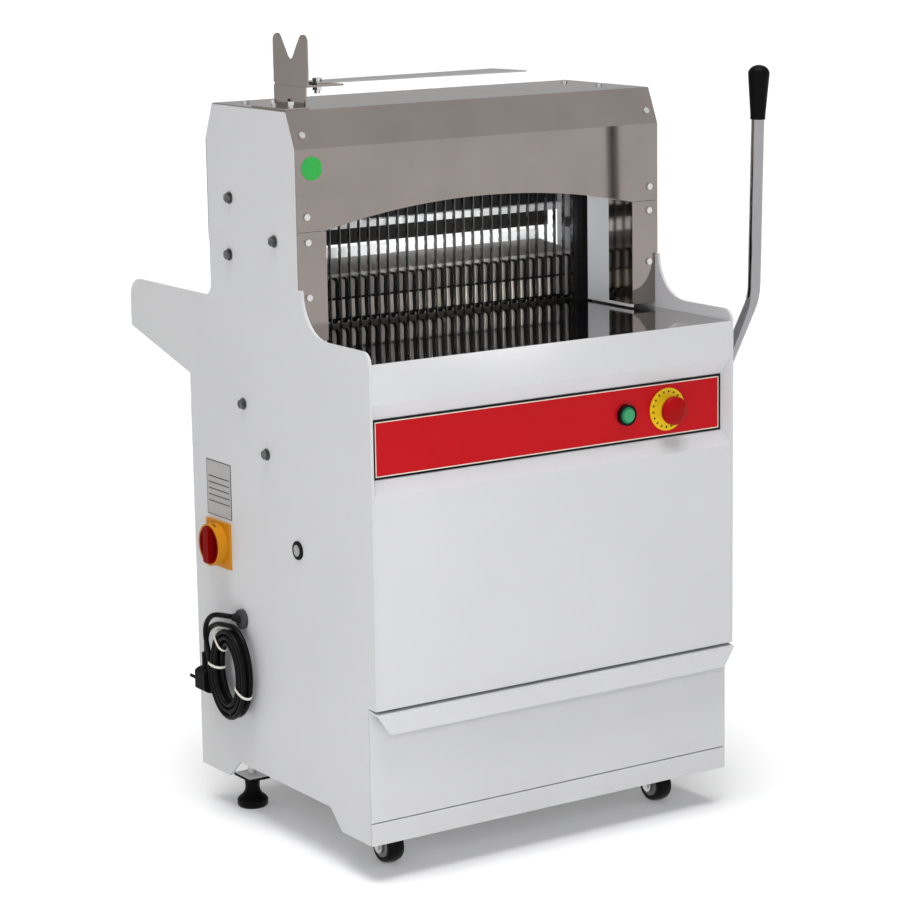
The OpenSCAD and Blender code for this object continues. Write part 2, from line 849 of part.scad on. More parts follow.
// Motor with a saddle on the beams and a terminal box on top
module motor() {
    saddle = 60;
    x_mid = (motor_x0 + motor_x1) / 2;
    color([0.25, 0.35, 0.45]) placed() difference() {
        union() {
            x_cyl(motor_x0, motor_l, motor_y, motor_z, motor_d);
            box([x_mid - saddle / 2, motor_y - 48, beam_z], [x_mid + saddle / 2, motor_y + 48, beam_z + 6]);
            box([x_mid - saddle / 2, motor_y - 30, beam_z], [x_mid + saddle / 2, motor_y + 30, motor_z - 30]);
            box([x_mid - 28, motor_y - 24, motor_z + 30],
                [x_mid + 28, motor_y + 24, motor_z + motor_d / 2 + 22]);
        }
        x_cyl(motor_x1 - 41, 42, motor_y, motor_z, motor_shaft_d + 2 * run);
    }
}

module motor_pulley() {
    color(zinc) placed() {
        pulley(pulley_x, motor_y, motor_z, motor_pulley_d, motor_shaft_d);
        x_cyl(motor_x1 - 40, pulley_x + pulley_w / 2 + 3 - motor_x1 + 40, motor_y, motor_z, motor_shaft_d);
    }
}

// Belt: two tangent runs between the pulleys, a running gap above the groove floors
belt_r1 = driven_d / 2 - 6 + belt_gap;
belt_r2 = motor_pulley_d / 2 - 6 + belt_gap;
belt_l = norm([motor_y - blade_y, motor_z - crank_z]);
belt_dir = atan2(motor_z - crank_z, motor_y - blade_y);
belt_a = acos((belt_r1 - belt_r2) / belt_l);

function on_pulley(c, r, a) = [c[0] + r * cos(a), c[1] + r * sin(a)];

module belt_outline(extra) {
    c1 = [blade_y, crank_z];
    c2 = [motor_y, motor_z];
    translate(c1) circle(r = belt_r1 + extra);
    translate(c2) circle(r = belt_r2 + extra);
    polygon([
        on_pulley(c1, belt_r1 + extra, belt_dir + belt_a), on_pulley(c2, belt_r2 + extra, belt_dir + belt_a),
        on_pulley(c2, belt_r2 + extra, belt_dir - belt_a), on_pulley(c1, belt_r1 + extra, belt_dir - belt_a)
    ]);
}

module drive_belt() {
    w = belt_w - 3;
    color(black) placed() yz(pulley_x - w / 2, w) difference() {
        belt_outline(belt_t);
        belt_outline(0);
    }
}

// Lever: hub on the cross shaft, lower leg, bend, upper leg and grip
module along_lever() {
    translate([lever_x, pivot_y, pivot_z]) rotate([lever_tilt, 0, 0]) children();
}

module past_bend() {
    along_lever() translate([0, 0, lever_low_l]) rotate([-bend_a, 0, 0]) children();
}

module lever_tube() {
    color(zinc) placed() difference() {
        union() {
            along_lever() {
                cylinder(d = lever_d, h = lever_low_l - bend_cut);
                translate([0, bend_r, lever_low_l - bend_cut]) rotate([90, 0, -90])
                    rotate_extrude(angle = bend_a) translate([bend_r, 0]) circle(d = lever_d - fit);
            }
            past_bend() translate([0, 0, bend_cut]) cylinder(d = lever_d, h = lever_up_l - bend_cut);
            past_bend() translate([0, 0, lever_up_l]) cylinder(d = lever_d / 2, h = grip_l * 0.6);
            x_cyl(lever_x - hub_w / 2, hub_w, pivot_y, pivot_z, hub_d);
        }
        x_cyl(lever_x - hub_w / 2 - 1, hub_w + 2, pivot_y, pivot_z, shaft_d + 2 * run);
    }
}

module lever_grip() {
    low_d = lever_d + 3;
    shoulder = grip_l - grip_crown;
    color(black) placed() past_bend() translate([0, 0, lever_up_l]) difference() {
        rotate_extrude() polygon(concat(
            [[0, 0], [low_d / 2, 0], [low_d / 2, 6], [grip_d / 2, shoulder]],
            [for (a = [15 : 15 : 90]) [grip_d / 2 * cos(a), shoulder + grip_crown * sin(a)]]
        ));
        translate([0, 0, -1]) cylinder(d = lever_d / 2 + 2 * run, h = grip_l * 0.6 + 1.5);
    }
}

// Cross shaft with a swing arm at each end; the arms' pins run in the drawbars' slots
module lever_shaft() {
    arm_w = 24;
    color(zinc) placed() {
        x_cyl(-half_w - bush_flange_t - 1, lever_x + hub_w / 2 - slip + half_w + bush_flange_t + 1,
              pivot_y, pivot_z, shaft_d);
        both_sides() {
            x_cyl(arm_x0, arm_t, pivot_y, pivot_z, shaft_d + 22);
            translate([arm_x0, pivot_y, pivot_z]) rotate([arm_tilt, 0, 0]) {
                box([1, -arm_w / 2, 0], [arm_t - 1, arm_w / 2, arm_r]);
                translate([0, 0, arm_r]) rotate([0, 90, 0]) cylinder(d = arm_w + 4, h = arm_t);
            }
            x_cyl(bar_x0 - 1, arm_x0 - bar_x0 + 2, arm_pin_y, arm_pin_low, arm_pin_d);
        }
    }
}

module shaft_bushes() {
    color(black) placed() both_sides() difference() {
        union() {
            x_cyl(half_w, bush_flange_t, pivot_y, pivot_z, bush_flange_d);
            x_cyl(half_w - bush_l, bush_l + 1, pivot_y, pivot_z, bush_d);
        }
        x_cyl(half_w - bush_l - 1, bush_l + bush_flange_t + 2, pivot_y, pivot_z, shaft_d + 2 * run);
    }
}

// Pusher: polished face that slopes back at the top, upstand behind it, side plates on sleeves, drawbars
function plate_z(y) = pusher_z + pusher_rise * (y - pusher_y) / pusher_d;
pusher_t = 3;
pusher_face_t = 1.5;

module pusher_plate() {
    face_y = pusher_y + pusher_face_t;
    color(bright) placed() yz(-pusher_x, 2 * pusher_x) polygon([
        [pusher_y, comb_low], [face_y, comb_low], [face_y, plate_z(face_y)], [pusher_y1, plate_z(pusher_y1)],
        [pusher_y1, plate_z(pusher_y1) + pusher_t], [pusher_y, pusher_z + pusher_t]
    ]);
}

module pusher_bar() {
    z0 = plate_z(pusher_y1);
    color(paint) placed()
        box([-pusher_x, pusher_y1, z0], [pusher_x, pusher_y1 + pusher_t, z0 + 18]);
}

module drawbar_outline() {
    low = arm_pin_low - arm_slot_w / 2 - 7;
    y0 = arm_pin_y - arm_slot_w / 2 - 5;
    y1 = arm_pin_y + arm_slot_w / 2 + 10;
    knee = slot_y1 - 40;
    heel = sleeve_y - 5;
    polygon([
        [y0, low], [knee, low], [heel, rod_z - 32], [sleeve_y + sleeve_l, rod_z - 28],
        [sleeve_y + sleeve_l, rod_z], [sleeve_y, rod_z], [sleeve_y, rod_z - 14], [heel - 5, rod_z - 14],
        [knee, low + 32], [y1, low + 32], [y1, arm_pin_high + arm_slot_w / 2 + 11],
        [y0, arm_pin_high + arm_slot_w / 2 + 11]
    ]);
}

module pusher_slides() {
    plate_x = rod_x - sleeve_d / 2 - 5;
    color(grey) placed() both_sides() difference() {
        union() {
            yz(bar_x0, drawbar_t) drawbar_outline();
            y_cyl(sleeve_y, sleeve_l, rod_x, rod_z, sleeve_d);
            yz(plate_x, 6) polygon([
                [sleeve_y, rod_z - 6], [sleeve_y + sleeve_l, rod_z - 6],
                [sleeve_y + sleeve_l, plate_z(sleeve_y + sleeve_l)], [sleeve_y, plate_z(sleeve_y)]
            ]);
            box([plate_x, sleeve_y, rod_z - 6], [rod_x, sleeve_y + sleeve_l, rod_z + 6]);
        }
        y_cyl(sleeve_y - 1, sleeve_l + 2, rod_x, rod_z, rod_d + 2 * run);
        box([bar_x0 - 1, arm_pin_y - arm_slot_w / 2, arm_pin_low - arm_slot_w / 2 - 1],
            [bar_x1 + 1, arm_pin_y + arm_slot_w / 2, arm_pin_high + arm_slot_w / 2 + 1]);
    }
}

// Fingers: one flat loop between each two blades, threaded on two cross rods
module finger_outline() {
    low = comb_low;
    high = table_z + comb_h;
    wire = 5;
    knee_z = table_z + comb_h * 0.45;
    difference() {
        polygon([[comb_y, high], [comb_y + 2, knee_z], [comb_y, low + 8], [comb_y, low],
                 [pusher_y, low], [pusher_y, high]]);
        polygon([[comb_y + wire, high - wire], [comb_y + wire + 2, knee_z], [comb_y + wire, low + 8],
                 [comb_y + wire, low + wire], [pusher_y - wire, low + wire], [pusher_y - wire, high - wire]]);
    }
}

comb_rod_d = 3;

module comb_rods(half_l, d) {
    for (z = [table_z + 5.5, table_z + comb_h / 2]) x_cyl(-half_l, 2 * half_l, pusher_y - 2.5, z, d);
}

module comb_fingers() {
    n = pair_n - 1;
    reach = n * blade_pitch;
    color(dark) placed() {
        difference() {
            for (i = [-n : n]) yz(i * blade_pitch - finger_t / 2, finger_t) finger_outline();
            comb_rods(reach + finger_t, comb_rod_d + 2 * run);
        }
        comb_rods(reach + finger_t, comb_rod_d);
    }
}

// Rods that the pusher slides on, and the blocks that hold them to the side panels
module guide_rods() {
    color(bright) placed() both_sides()
        y_cyl(block_y0, block_y1 + block_l - block_y0, rod_x, rod_z, rod_d);
}

module rod_blocks() {
    color(grey) placed() both_sides() for (y = [block_y0, block_y1]) difference() {
        box([block_x0, y, rod_z - rod_d / 2 - 3], [inner_x, y + block_l, rod_z + rod_d / 2 + 4]);
        y_cyl(y - 1, block_l + 2, rod_x, rod_z, rod_d + 2 * run);
    }
}

// Crumb drawer, its front with the handle lip, and the runners
module crumb_drawer() {
    y0 = drawer_y;
    wall = 1.5;
    color(bright) placed() difference() {
        box([-drawer_x, y0, drawer_z], [drawer_x, y0 + drawer_d, drawer_z + drawer_h]);
        box([-drawer_x + wall, y0 + wall, drawer_z + wall],
            [drawer_x - wall, y0 + drawer_d - wall, drawer_z + drawer_h + 1]);
    }
}

module drawer_front() {
    low = plinth_h + 1.5;
    high = drawer_top_z - 1.5;
    rim = 4;
    color(paint) placed() {
        box([-half_w, setback, low], [half_w, setback + sheet_t, high]);
        intersection() {
            yz(-half_w, body_w) polygon([
                [setback, high], [lip_front, high - rim], [lip_front, high - rim - lip_h],
                [lip_front + sheet_t, high - rim - lip_h], [lip_front + sheet_t, high - rim - sheet_t],
                [setback, high - sheet_t]
            ]);
            xz(lip_front - 1, lip_out + 2) polygon([
                [-half_w, high], [half_w, high], [half_w, high - rim],
                [half_w - lip_h * 0.65, high - rim - lip_h], [-half_w + lip_h * 0.65, high - rim - lip_h],
                [-half_w, high - rim]
            ]);
        }
    }
}

module drawer_runners() {
    color(zinc) placed() both_sides() {
        box([drawer_x - 12, low_y + 8, plinth_h], [inner_x, body_d - 20, drawer_z - 0.3]);
        box([drawer_x + 4, low_y + 8, plinth_h], [inner_x, body_d - 20, drawer_z + 24]);
    }
}

// Casters: a fixed plate with its king pin, a fork that swivels, a wheel that spins
module caster_mounts() {
    color(zinc) placed() both_sides() {
        box([caster_x - 30, king_y - 30, base_z - mount_t], [caster_x + 30, king_y + 30, base_z]);
        z_cyl(base_z - mount_t - 14, 14, caster_x, king_y, king_d);
    }
}

module caster_fork(x) {
    arm_w = 16;
    color(zinc) placed() difference() {
        union() {
            z_cyl(fork_top - 8, 8, x, king_y, 2 * fork_x + 12);
            for (s = [-1, 1]) {
                side = s < 0 ? -fork_x - fork_t : fork_x;
                yz(x + side, fork_t) polygon([
                    [king_y - arm_w / 2, fork_top - 4], [king_y + arm_w, fork_top - 4],
                    [caster_y + arm_w / 2, axle_z], [caster_y - arm_w / 2, axle_z]
                ]);
                x_cyl(x + side, fork_t, caster_y, axle_z, arm_w + 3);
            }
            x_cyl(x - fork_x - fork_t - 2, 2 * (fork_x + fork_t + 2), caster_y, axle_z, axle_d);
        }
        z_cyl(fork_top - 20, 30, x, king_y, king_d + 2 * run);
    }
}

module left_caster_fork() {
    caster_fork(-caster_x);
}

module right_caster_fork() {
    caster_fork(caster_x);
}

module caster_wheel(x) {
    crown = 4;
    tread_r = wheel_d / 2;
    half = wheel_w / 2;
    color(black) placed() translate([x, caster_y, axle_z]) rotate([0, 90, 0]) rotate_extrude() polygon(concat(
        [[axle_d / 2 + run, -half], [tread_r - 9, -half], [tread_r - 9, 2 - half], [tread_r - 7, -half]],
        [for (a = [-90 : 18 : 90]) [tread_r - crown + crown * cos(a), half * sin(a)]],
        [[tread_r - 7, half], [tread_r - 9, half - 2], [tread_r - 9, half], [axle_d / 2 + run, half]]
    ));
}

module left_caster_wheel() {
    caster_wheel(-caster_x);
}

module right_caster_wheel() {
    caster_wheel(caster_x);
}

// Levelling feet: a bell-shaped pad on a screw, in a channel bracket under the base
foot_plate_z = -12;
foot_plate_t = 4;

module foot(x) {
    neck_r = 10.5;
    neck_h = leg_h + foot_plate_z - slip;
    color(black) placed() translate([x, foot_y, -leg_h]) {
        rotate_extrude() polygon([
            [0, 0], [foot_d / 2 - 2, 0], [foot_d / 2, 3], [foot_d / 2, 10], [foot_d / 2 - 3, 14],
            [neck_r + 4, 18], [neck_r + 1, 23], [neck_r, 29], [neck_r + 1, neck_h], [0, neck_h]
        ]);
        cylinder(d = foot_stem_d, h = leg_h + base_z - 1);
    }
}

module left_foot() {
    foot(-foot_x);
}

module right_foot() {
    foot(foot_x);
}

module foot_brackets() {
    half_x = 17;
    half_y = 23;
    color(black) placed() both_sides() difference() {
        translate([foot_x, foot_y, 0]) {
            box([-half_x, -half_y, foot_plate_z], [half_x, half_y, foot_plate_z + foot_plate_t]);
            box([-half_x, -half_y, foot_plate_z], [foot_plate_t - half_x, half_y, base_z]);
            box([-half_x, -half_y, base_z - foot_plate_t], [half_x, half_y, base_z]);
        }
        z_cyl(foot_plate_z - 1, base_z - foot_plate_z + 2, foot_x, foot_y, foot_stem_d + 2 * run);
    }
}

// Start button: bezel with its barrel through the panel, and the cap that is pressed
module start_bezel() {
    y0 = recess_d - strip_t - start_bezel_h;
    color(dark) placed() difference() {
        union() {
            y_cyl(y0, start_bezel_h, start_x, control_z, start_d);
            y_cyl(y0, start_bezel_h + barrel_l, start_x, control_z, barrel_d);
        }
        y_cyl(y0 - 1, start_cap_l + start_travel + 2, start_x, control_z, start_cap_d + 2 * run);
    }
}

module start_button() {
    y0 = recess_d - strip_t - start_bezel_h - start_cap_out;
    color(green) placed() y_cyl(y0, start_cap_l, start_x, control_z, start_cap_d);
}

// Stop button: yellow disc with a collar and barrel, and the mushroom head on its stem
module stop_ring() {
    face = recess_d - strip_t;
    color(yellow) placed() difference() {
        union() {
            y_cyl(face - stop_disc_t, stop_disc_t, stop_x, control_z, stop_disc_d);
            y_cyl(face - stop_disc_t - stop_collar, stop_collar + stop_disc_t, stop_x, control_z,
                  barrel_d + 8);
            y_cyl(face - stop_disc_t, barrel_l, stop_x, control_z, barrel_d);
        }
        y_cyl(stop_head_y, barrel_l, stop_x, control_z, stop_stem_d + 2 * run);
    }
}

module stop_button() {
    dome = 6;
    stem = barrel_l - stop_travel - 2;
    color(red) placed() translate([stop_x, stop_head_y, control_z]) rotate([90, 0, 0])
        rotate_extrude() polygon(concat(
        [[0, -stem], [stop_stem_d / 2, -stem], [stop_stem_d / 2, 0], [stop_d / 2 - 5, 0],
         [stop_d / 2, 5], [stop_d / 2, stop_head_h - dome]],
        [for (a = [18 : 18 : 90]) [stop_d / 2 * cos(a), stop_head_h - dome + dome * sin(a)]]
    ));
}

// Main switch: square plate with a round collar that has a padlock slot, and the cupped knob in it,
// with an upright grip bar across the cup
module switch_plate() {
    rim_x = -half_w - switch_t - collar_l;
    lock_l = 12;
    lock_w = 3.5;
    color(yellow) placed() difference() {
        union() {
            box([-half_w - switch_t, switch_y - switch_w / 2, switch_z - switch_w / 2],
                [-half_w, switch_y + switch_w / 2, switch_z + switch_w / 2]);
            x_cyl(rim_x, collar_l + 1, switch_y, switch_z, collar_d);
            x_cyl(-half_w - 1, barrel_l, switch_y, switch_z, barrel_d);
        }
        x_cyl(rim_x - 1, collar_l + 1, switch_y, switch_z, knob_d + 2 * slip);
        x_cyl(-half_w - switch_t - 1, knob_stem + 2, switch_y, switch_z, axle_d + 2 * run);
        box([rim_x + 4, switch_y - lock_l, switch_z], [rim_x + 4 + lock_w, switch_y, switch_z + collar_d]);
    }
}

knob_stem = 19;

module switch_knob() {
    rim_x = -half_w - switch_t - collar_l;
    cup = 9;
    cup_wall = 2.5;
    grip_w = 15;
    color(red) placed() {
        difference() {
            x_cyl(rim_x, collar_l - slip, switch_y, switch_z, knob_d);
            x_cyl(rim_x - 1, cup + 1, switch_y, switch_z, knob_d - 2 * cup_wall);
        }
        intersection() {
            x_cyl(rim_x - knob_out, knob_out + cup + 1, switch_y, switch_z, knob_d - cup_wall);
            box([rim_x - knob_out, switch_y - grip_w / 2, switch_z - knob_d],
                [rim_x + cup + 1, switch_y + grip_w / 2, switch_z + knob_d]);
        }
        x_cyl(-half_w - switch_t - 1, knob_stem, switch_y, switch_z, axle_d);
    }
}

// Bag holder: folded bracket with its fork, and the tongue on its bolt
bracket_screws = [
    for (s = [0.25, 0.75]) [bracket_x0 + bracket_w * 0.6, bracket_y0 + bracket_l * s]
];

module fork_outline() {
    c = bracket_y0 + bracket_l / 2;
    horn_r = 10.5;
    horn_y = bracket_l / 2 - horn_r;
    horn_z = shelf_z + fork_h - horn_r;
    notch_r = 10;
    notch_z = shelf_z + fork_h / 2 + notch_r;
    lean = 25;
    polygon(concat(
        [[bracket_y0, shelf_z + fork_gap], [bracket_y0 + bracket_l, shelf_z + fork_gap]],
        arc(c + horn_y, horn_z, horn_r, 0, 180 - lean),
        arc(c, notch_z, notch_r, -lean, lean - 180),
        arc(c - horn_y, horn_z, horn_r, lean, 180)
    ));
}

// The fork stands on the shelf with a narrow gap above the upright, joined by a neck behind that gap
fork_gap = 1;
neck_t = 1.2;
upright_in = 6;

module bag_bracket() {
    x0 = bracket_x1 - bracket_t;
    y1 = bracket_y0 + bracket_l;
    shelf_low = shelf_z - bracket_t;
    color(steel) placed() difference() {
        union() {
            box([bracket_x0, bracket_y0, top_z], [bracket_x1, y1, top_z + bracket_t]);
            box([x0, bracket_y0 + upright_in, top_z], [bracket_x1, y1, shelf_low]);
            box([bracket_x1 - neck_t, bracket_y0 + upright_in, shelf_low - 2], [bracket_x1, y1, shelf_z + 3]);
            box([bracket_x1 - neck_t, bracket_y0, shelf_low], [bracket_x1 + shelf_w, y1, shelf_z]);
            yz(x0, bracket_t) fork_outline();
        }
        for (p = bracket_screws) z_cyl(top_z - 5, 20, p[0], p[1], screw_d + 2 * fit);
        z_cyl(shelf_z - 10, 20, tongue_bolt_x, tongue_y, tongue_bolt_d + 2 * fit);
    }
}

module bag_tongue() {
    x0 = tongue_bolt_x - tongue_back;
    x1 = x0 + tongue_l;
    color(bright) placed() difference() {
        xy(shelf_z + 0.3, 2) polygon([
            [x0, tongue_y - tongue_root_w / 2], [x1, tongue_y - tongue_w / 2],
            [x1 - 11, tongue_y + tongue_w / 2], [x0, tongue_y + tongue_root_w / 2]
        ]);
        z_cyl(shelf_z - 1, 6, tongue_bolt_x, tongue_y, tongue_bolt_d + 2 * run);
    }
}

// Screws, the side bolts with their washers, and the tongue's bolt with its wing nut
module screw() {
    cylinder(d = screw_head_d, h = screw_head_h);
    translate([0, 0, -6]) cylinder(d = screw_d, h = 7);
}

module side_bolt(y, z) {
    translate([half_w, y, z]) rotate([0, 90, 0]) {
        cylinder(d = washer_d, h = washer_t);
        translate([0, 0, washer_t]) cylinder(d = bolt_head, h = bolt_head_h, $fn = 6);
        translate([0, 0, -panel_t - 9]) cylinder(d = bolt_d, h = panel_t + 10);
    }
}

module fasteners() {
    color(zinc) placed() {
        both_sides() {
            for (p = side_bolts_at) side_bolt(p[0], p[1]);
            for (z = hood_screw_z) translate([screw_x, tower_y, z]) rotate([90, 0, 0]) screw();
            for (z = strip_screw_z) translate([screw_x - 1, tower_y, z]) rotate([90, 0, 0]) screw();
            on_facet(screw_x) screw();
        }
        for (p = cover_screws) translate([p[0], p[1], top_z]) screw();
        for (p = bracket_screws) translate([p[0], p[1], top_z + bracket_t]) {
            screw();
            translate([0, 0, screw_head_h - 0.5]) cylinder(d = screw_head_d, h = 5, $fn = 6);
        }
        translate([tongue_bolt_x, tongue_y, shelf_z]) {
            translate([0, 0, -14]) cylinder(d = tongue_bolt_d, h = 17);
            translate([0, 0, 2.6]) cylinder(d = 13, h = 4);
            translate([0, 0, -bracket_t - 7]) cylinder(d = 14, h = 7, $fn = 6);
        }
    }
}

// Cord: gland with its tapered boot, tube and plug
module cord_gland() {
    color(grey) placed() {
        x_cyl(-half_w - gland_out, gland_out, gland[0], gland[1], gland_d);
        x_cyl(-half_w - 1, panel_t + 6, gland[0], gland[1], gland_d - 7);
        translate([-half_w, gland[0], gland[1]])
            rotate([0, acos(boot_dir[2]), atan2(boot_dir[1], boot_dir[0])])
            cylinder(d1 = boot_d, d2 = cord_d + 3, h = boot_l);
    }
}

// Tube route: straight out of the boot, eased through hand points, two layers of turns, eased to the plug
function spline_point(q, i, t) = (q[i] * pow(1 - t, 3) + q[i + 1] * (3 * pow(t, 3) - 6 * t * t + 4)
    + q[i + 2] * (3 * t + 3 * t * t - 3 * pow(t, 3) + 1) + q[i + 3] * pow(t, 3)) / 6;
function eased(q) = [
    for (i = [0 : len(q) - 4]) for (k = [0 : lead_rings - 1]) spline_point(q, i, k / lead_rings)
];
function coil_in(t) = coil_step * min(t, coil_turns - t);
function climb(t) = let (s = min(1, max(0, (t - coil_turns / 2 + 0.25) / 0.5))) s * s * (3 - 2 * s);
function coil_point(t) = let (a = coil_start - 360 * t) [
    coil_x2 + (coil_x1 - coil_x2) * climb(t),
    coil_c[0] + (coil_ry - coil_in(t)) * cos(a), coil_c[1] + (coil_rz - coil_in(t)) * sin(a)
];
function coil_tangent(t) = let (a = coil_start - 360 * t) unit([0, coil_ry * sin(a), -coil_rz * cos(a)]);
function ease_about(p, v) = [p - lead_ease * v, p, p + lead_ease * v];

cord_start = [-half_w, gland[0], gland[1]] + boot_l * boot_dir;
cord_end = [plug_x, plug_c[0], plug_c[1] + plug_d / 2 + plug_sleeve];
lead_end = cord_end + [0, 0, cord_d];
coil_count = ceil(coil_turns * coil_rings);
lead_in = eased(concat(ease_about(cord_start + cord_d * boot_dir, boot_dir), lead_in_points,
    ease_about(coil_point(0), coil_tangent(0))));
lead_out = eased(concat(ease_about(coil_point(coil_turns), coil_tangent(coil_turns)), lead_out_points,
    ease_about(lead_end, [0, 0, -1])));
cord_path = concat(
    [cord_start],
    lead_in,
    [for (i = [0 : coil_count]) coil_point(coil_turns * i / coil_count)],
    [for (i = [1 : len(lead_out) - 1]) lead_out[i]],
    [lead_end, cord_end]
);
cord_n = len(cord_path);

// Length of the tube, and its least gap to itself, measured between points a few diameters apart
cord_length = [for (i = 0, s = 0; i < cord_n; i = i + 1,
    s = s + (i < cord_n ? norm(cord_path[i] - cord_path[i - 1]) : 0)) s][cord_n - 1];
cord_gap = min([for (i = [0 : cord_n - 9]) for (j = [i + 8 : cord_n - 1])
    norm(cord_path[i] - cord_path[j])]) - cord_d;
echo(cord_length = cord_length, cord_gap = cord_gap);

function unit(v) = v / norm(v);
function along(i) = i == 0 ? unit(cord_path[1] - cord_path[0])
    : i == cord_n - 1 ? unit(cord_path[i] - cord_path[i - 1])
    : unit(cord_path[i + 1] - cord_path[i - 1]);
function across(v, t) = unit(v - (v * t) * t);
cord_normals = [for (i = 0, n = across([0, 0, 1], along(0)); i < cord_n; i = i + 1,
    n = i < cord_n ? across(n, along(i)) : n) n];

module mains_cord() {
    sides = 6;
    points = [for (i = [0 : cord_n - 1]) let (n = cord_normals[i], b = cross(along(i), n))
        for (k = [0 : sides - 1])
            cord_path[i] + cord_d / 2 * (cos(360 * k / sides) * n + sin(360 * k / sides) * b)];
    walls = [for (i = [0 : cord_n - 2]) for (k = [0 : sides - 1])
        let (a = i * sides + k, b = i * sides + (k + 1) % sides)
        for (f = [[a, a + sides, b], [b, a + sides, b + sides]]) f];
    first_cap = [for (k = [1 : sides - 2]) [0, k, k + 1]];
    last = (cord_n - 1) * sides;
    last_cap = [for (k = [1 : sides - 2]) [last, last + k + 1, last + k]];
    color(black) placed() polyhedron(points = points, faces = concat(walls, first_cap, last_cap));
}

module mains_plug() {
    pin_d = 4.8;
    pin_l = 19;
    pin_gap = 9;
    color(black) placed() {
        intersection() {
            y_cyl(plug_c[0] - plug_l / 2, plug_l, plug_x, plug_c[1], plug_d);
            box([plug_x - plug_w / 2, plug_c[0] - plug_l, plug_c[1] - plug_d],
                [plug_x + plug_w / 2, plug_c[0] + plug_l, plug_c[1] + plug_d]);
        }
        z_cyl(plug_c[1], plug_d / 2 + plug_sleeve, plug_x, plug_c[0], 14);
        for (s = [-1, 1])
            y_cyl(plug_c[0] + plug_l / 2 - 1, pin_l + 1, plug_x + s * pin_gap, plug_c[1], pin_d);
    }
}

left_side_panel();
right_side_panel();
front_panel();
control_strip();
base_plate();
rear_panel();
top_cover();
front_hood();
rear_hood();
front_strips();
channel_walls();
front_table();
rear_table();
blade_guides();
front_blade_frame();
rear_blade_frame();
front_blades();
rear_blades();
front_conrods();
rear_conrods();
crankshaft();
crank_bearings();
driven_pulley();
cross_beams();
motor();
motor_pulley();
drive_belt();
lever_tube();
lever_grip();
lever_shaft();
shaft_bushes();
pusher_plate();
pusher_bar();
pusher_slides();
comb_fingers();
guide_rods();
rod_blocks();
crumb_drawer();
drawer_front();
drawer_runners();
caster_mounts();
left_caster_fork();
right_caster_fork();
left_caster_wheel();
right_caster_wheel();
left_foot();
right_foot();
foot_brackets();
start_bezel();
start_button();
stop_ring();
stop_button();
switch_plate();
switch_knob();
bag_bracket();
bag_tongue();
fasteners();
cord_gland();
mains_cord();
mains_plug();
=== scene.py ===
import math

import bpy
import mathutils
import numpy as np
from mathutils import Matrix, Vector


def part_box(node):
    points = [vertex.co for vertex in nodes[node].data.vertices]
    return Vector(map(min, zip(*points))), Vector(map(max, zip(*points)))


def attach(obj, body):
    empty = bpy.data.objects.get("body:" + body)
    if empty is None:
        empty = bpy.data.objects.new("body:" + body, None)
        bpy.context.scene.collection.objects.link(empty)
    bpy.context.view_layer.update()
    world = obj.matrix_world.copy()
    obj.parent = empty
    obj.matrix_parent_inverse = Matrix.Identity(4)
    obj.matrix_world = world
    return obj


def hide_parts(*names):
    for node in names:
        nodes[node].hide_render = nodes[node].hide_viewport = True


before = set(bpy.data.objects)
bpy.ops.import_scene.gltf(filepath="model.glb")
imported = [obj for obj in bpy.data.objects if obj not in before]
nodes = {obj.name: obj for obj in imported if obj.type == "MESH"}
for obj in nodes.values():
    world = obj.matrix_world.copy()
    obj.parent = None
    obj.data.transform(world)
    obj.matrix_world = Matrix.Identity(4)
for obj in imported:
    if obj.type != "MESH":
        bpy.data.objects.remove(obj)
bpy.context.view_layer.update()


# Base tray and cross beams: folded steel sheet with its plinth turned down at the front, and box
# beams between the side panels. All are powder coated white, so the finish has a fine orange peel
# and a trace of dust near the floor.
class Socket:
    """One value in a node tree. Arithmetic on it adds Math nodes to the same tree."""

    def __init__(self, owner, out):
        self.owner, self.out = owner, out

    def calc(self, operation, *others):
        """Adds one Math node with this value in its first socket."""
        values = dict(enumerate((self, *others)))
        return self.owner.node("ShaderNodeMath", {"operation": operation}, values)

    def __add__(self, other):
        return self.calc("ADD", other)

    def __sub__(self, other):
        return self.calc("SUBTRACT", other)

    def __rsub__(self, other):
        return self.calc("MULTIPLY", -1.0) + other

    def __mul__(self, other):
        return self.calc("MULTIPLY", other)

    def __lt__(self, other):
        return self.calc("LESS_THAN", other)

    def __gt__(self, other):
        return self.calc("GREATER_THAN", other)

    def __abs__(self):
        return self.calc("ABSOLUTE")

    __radd__ = __add__
    __rmul__ = __mul__

    def least(self, other):
        return self.calc("MINIMUM", other)

    def most(self, other):
        return self.calc("MAXIMUM", other)

    def ramp(self, low, high):
        """0 at low, 1 at high, eased between and held outside."""
        values = {0: self, 1: low, 2: high}
        return self.owner.node("ShaderNodeMapRange", {"interpolation_type": "SMOOTHSTEP"}, values)


class Nodes:
    """A node tree: node() adds any node by its type, settings and socket values."""

    def __init__(self, tree):
        self.tree = tree

    def put(self, slot, value):
        """Links a socket to a slot, or writes a plain value into it."""
        if isinstance(value, Socket):
            self.tree.links.new(value.out, slot)
        else:
            slot.default_value = value

    def node(self, kind, settings, values, out=0):
        made = self.tree.nodes.new(kind)
        for name, value in settings.items():
            setattr(made, name, value)
        for name, value in values.items():
            self.put(made.inputs[name], value)
        return Socket(self, made.outputs[out])

    def finish_with(self, shader):
        """Makes a shader the surface of this tree's output."""
        output = next(n for n in self.tree.nodes if n.type.startswith("OUTPUT"))
        self.put(output.inputs["Surface"], shader)

    def mix(self, a, b, factor):
        """Colour a where the factor is 0, and b where it is 1."""
        a, b = ((*c, 1.0) if isinstance(c, tuple) and len(c) == 3 else c for c in (a, b))
        return self.node("ShaderNodeMix", {"data_type": "RGBA"}, {0: factor, 6: a, 7: b}, out=2)


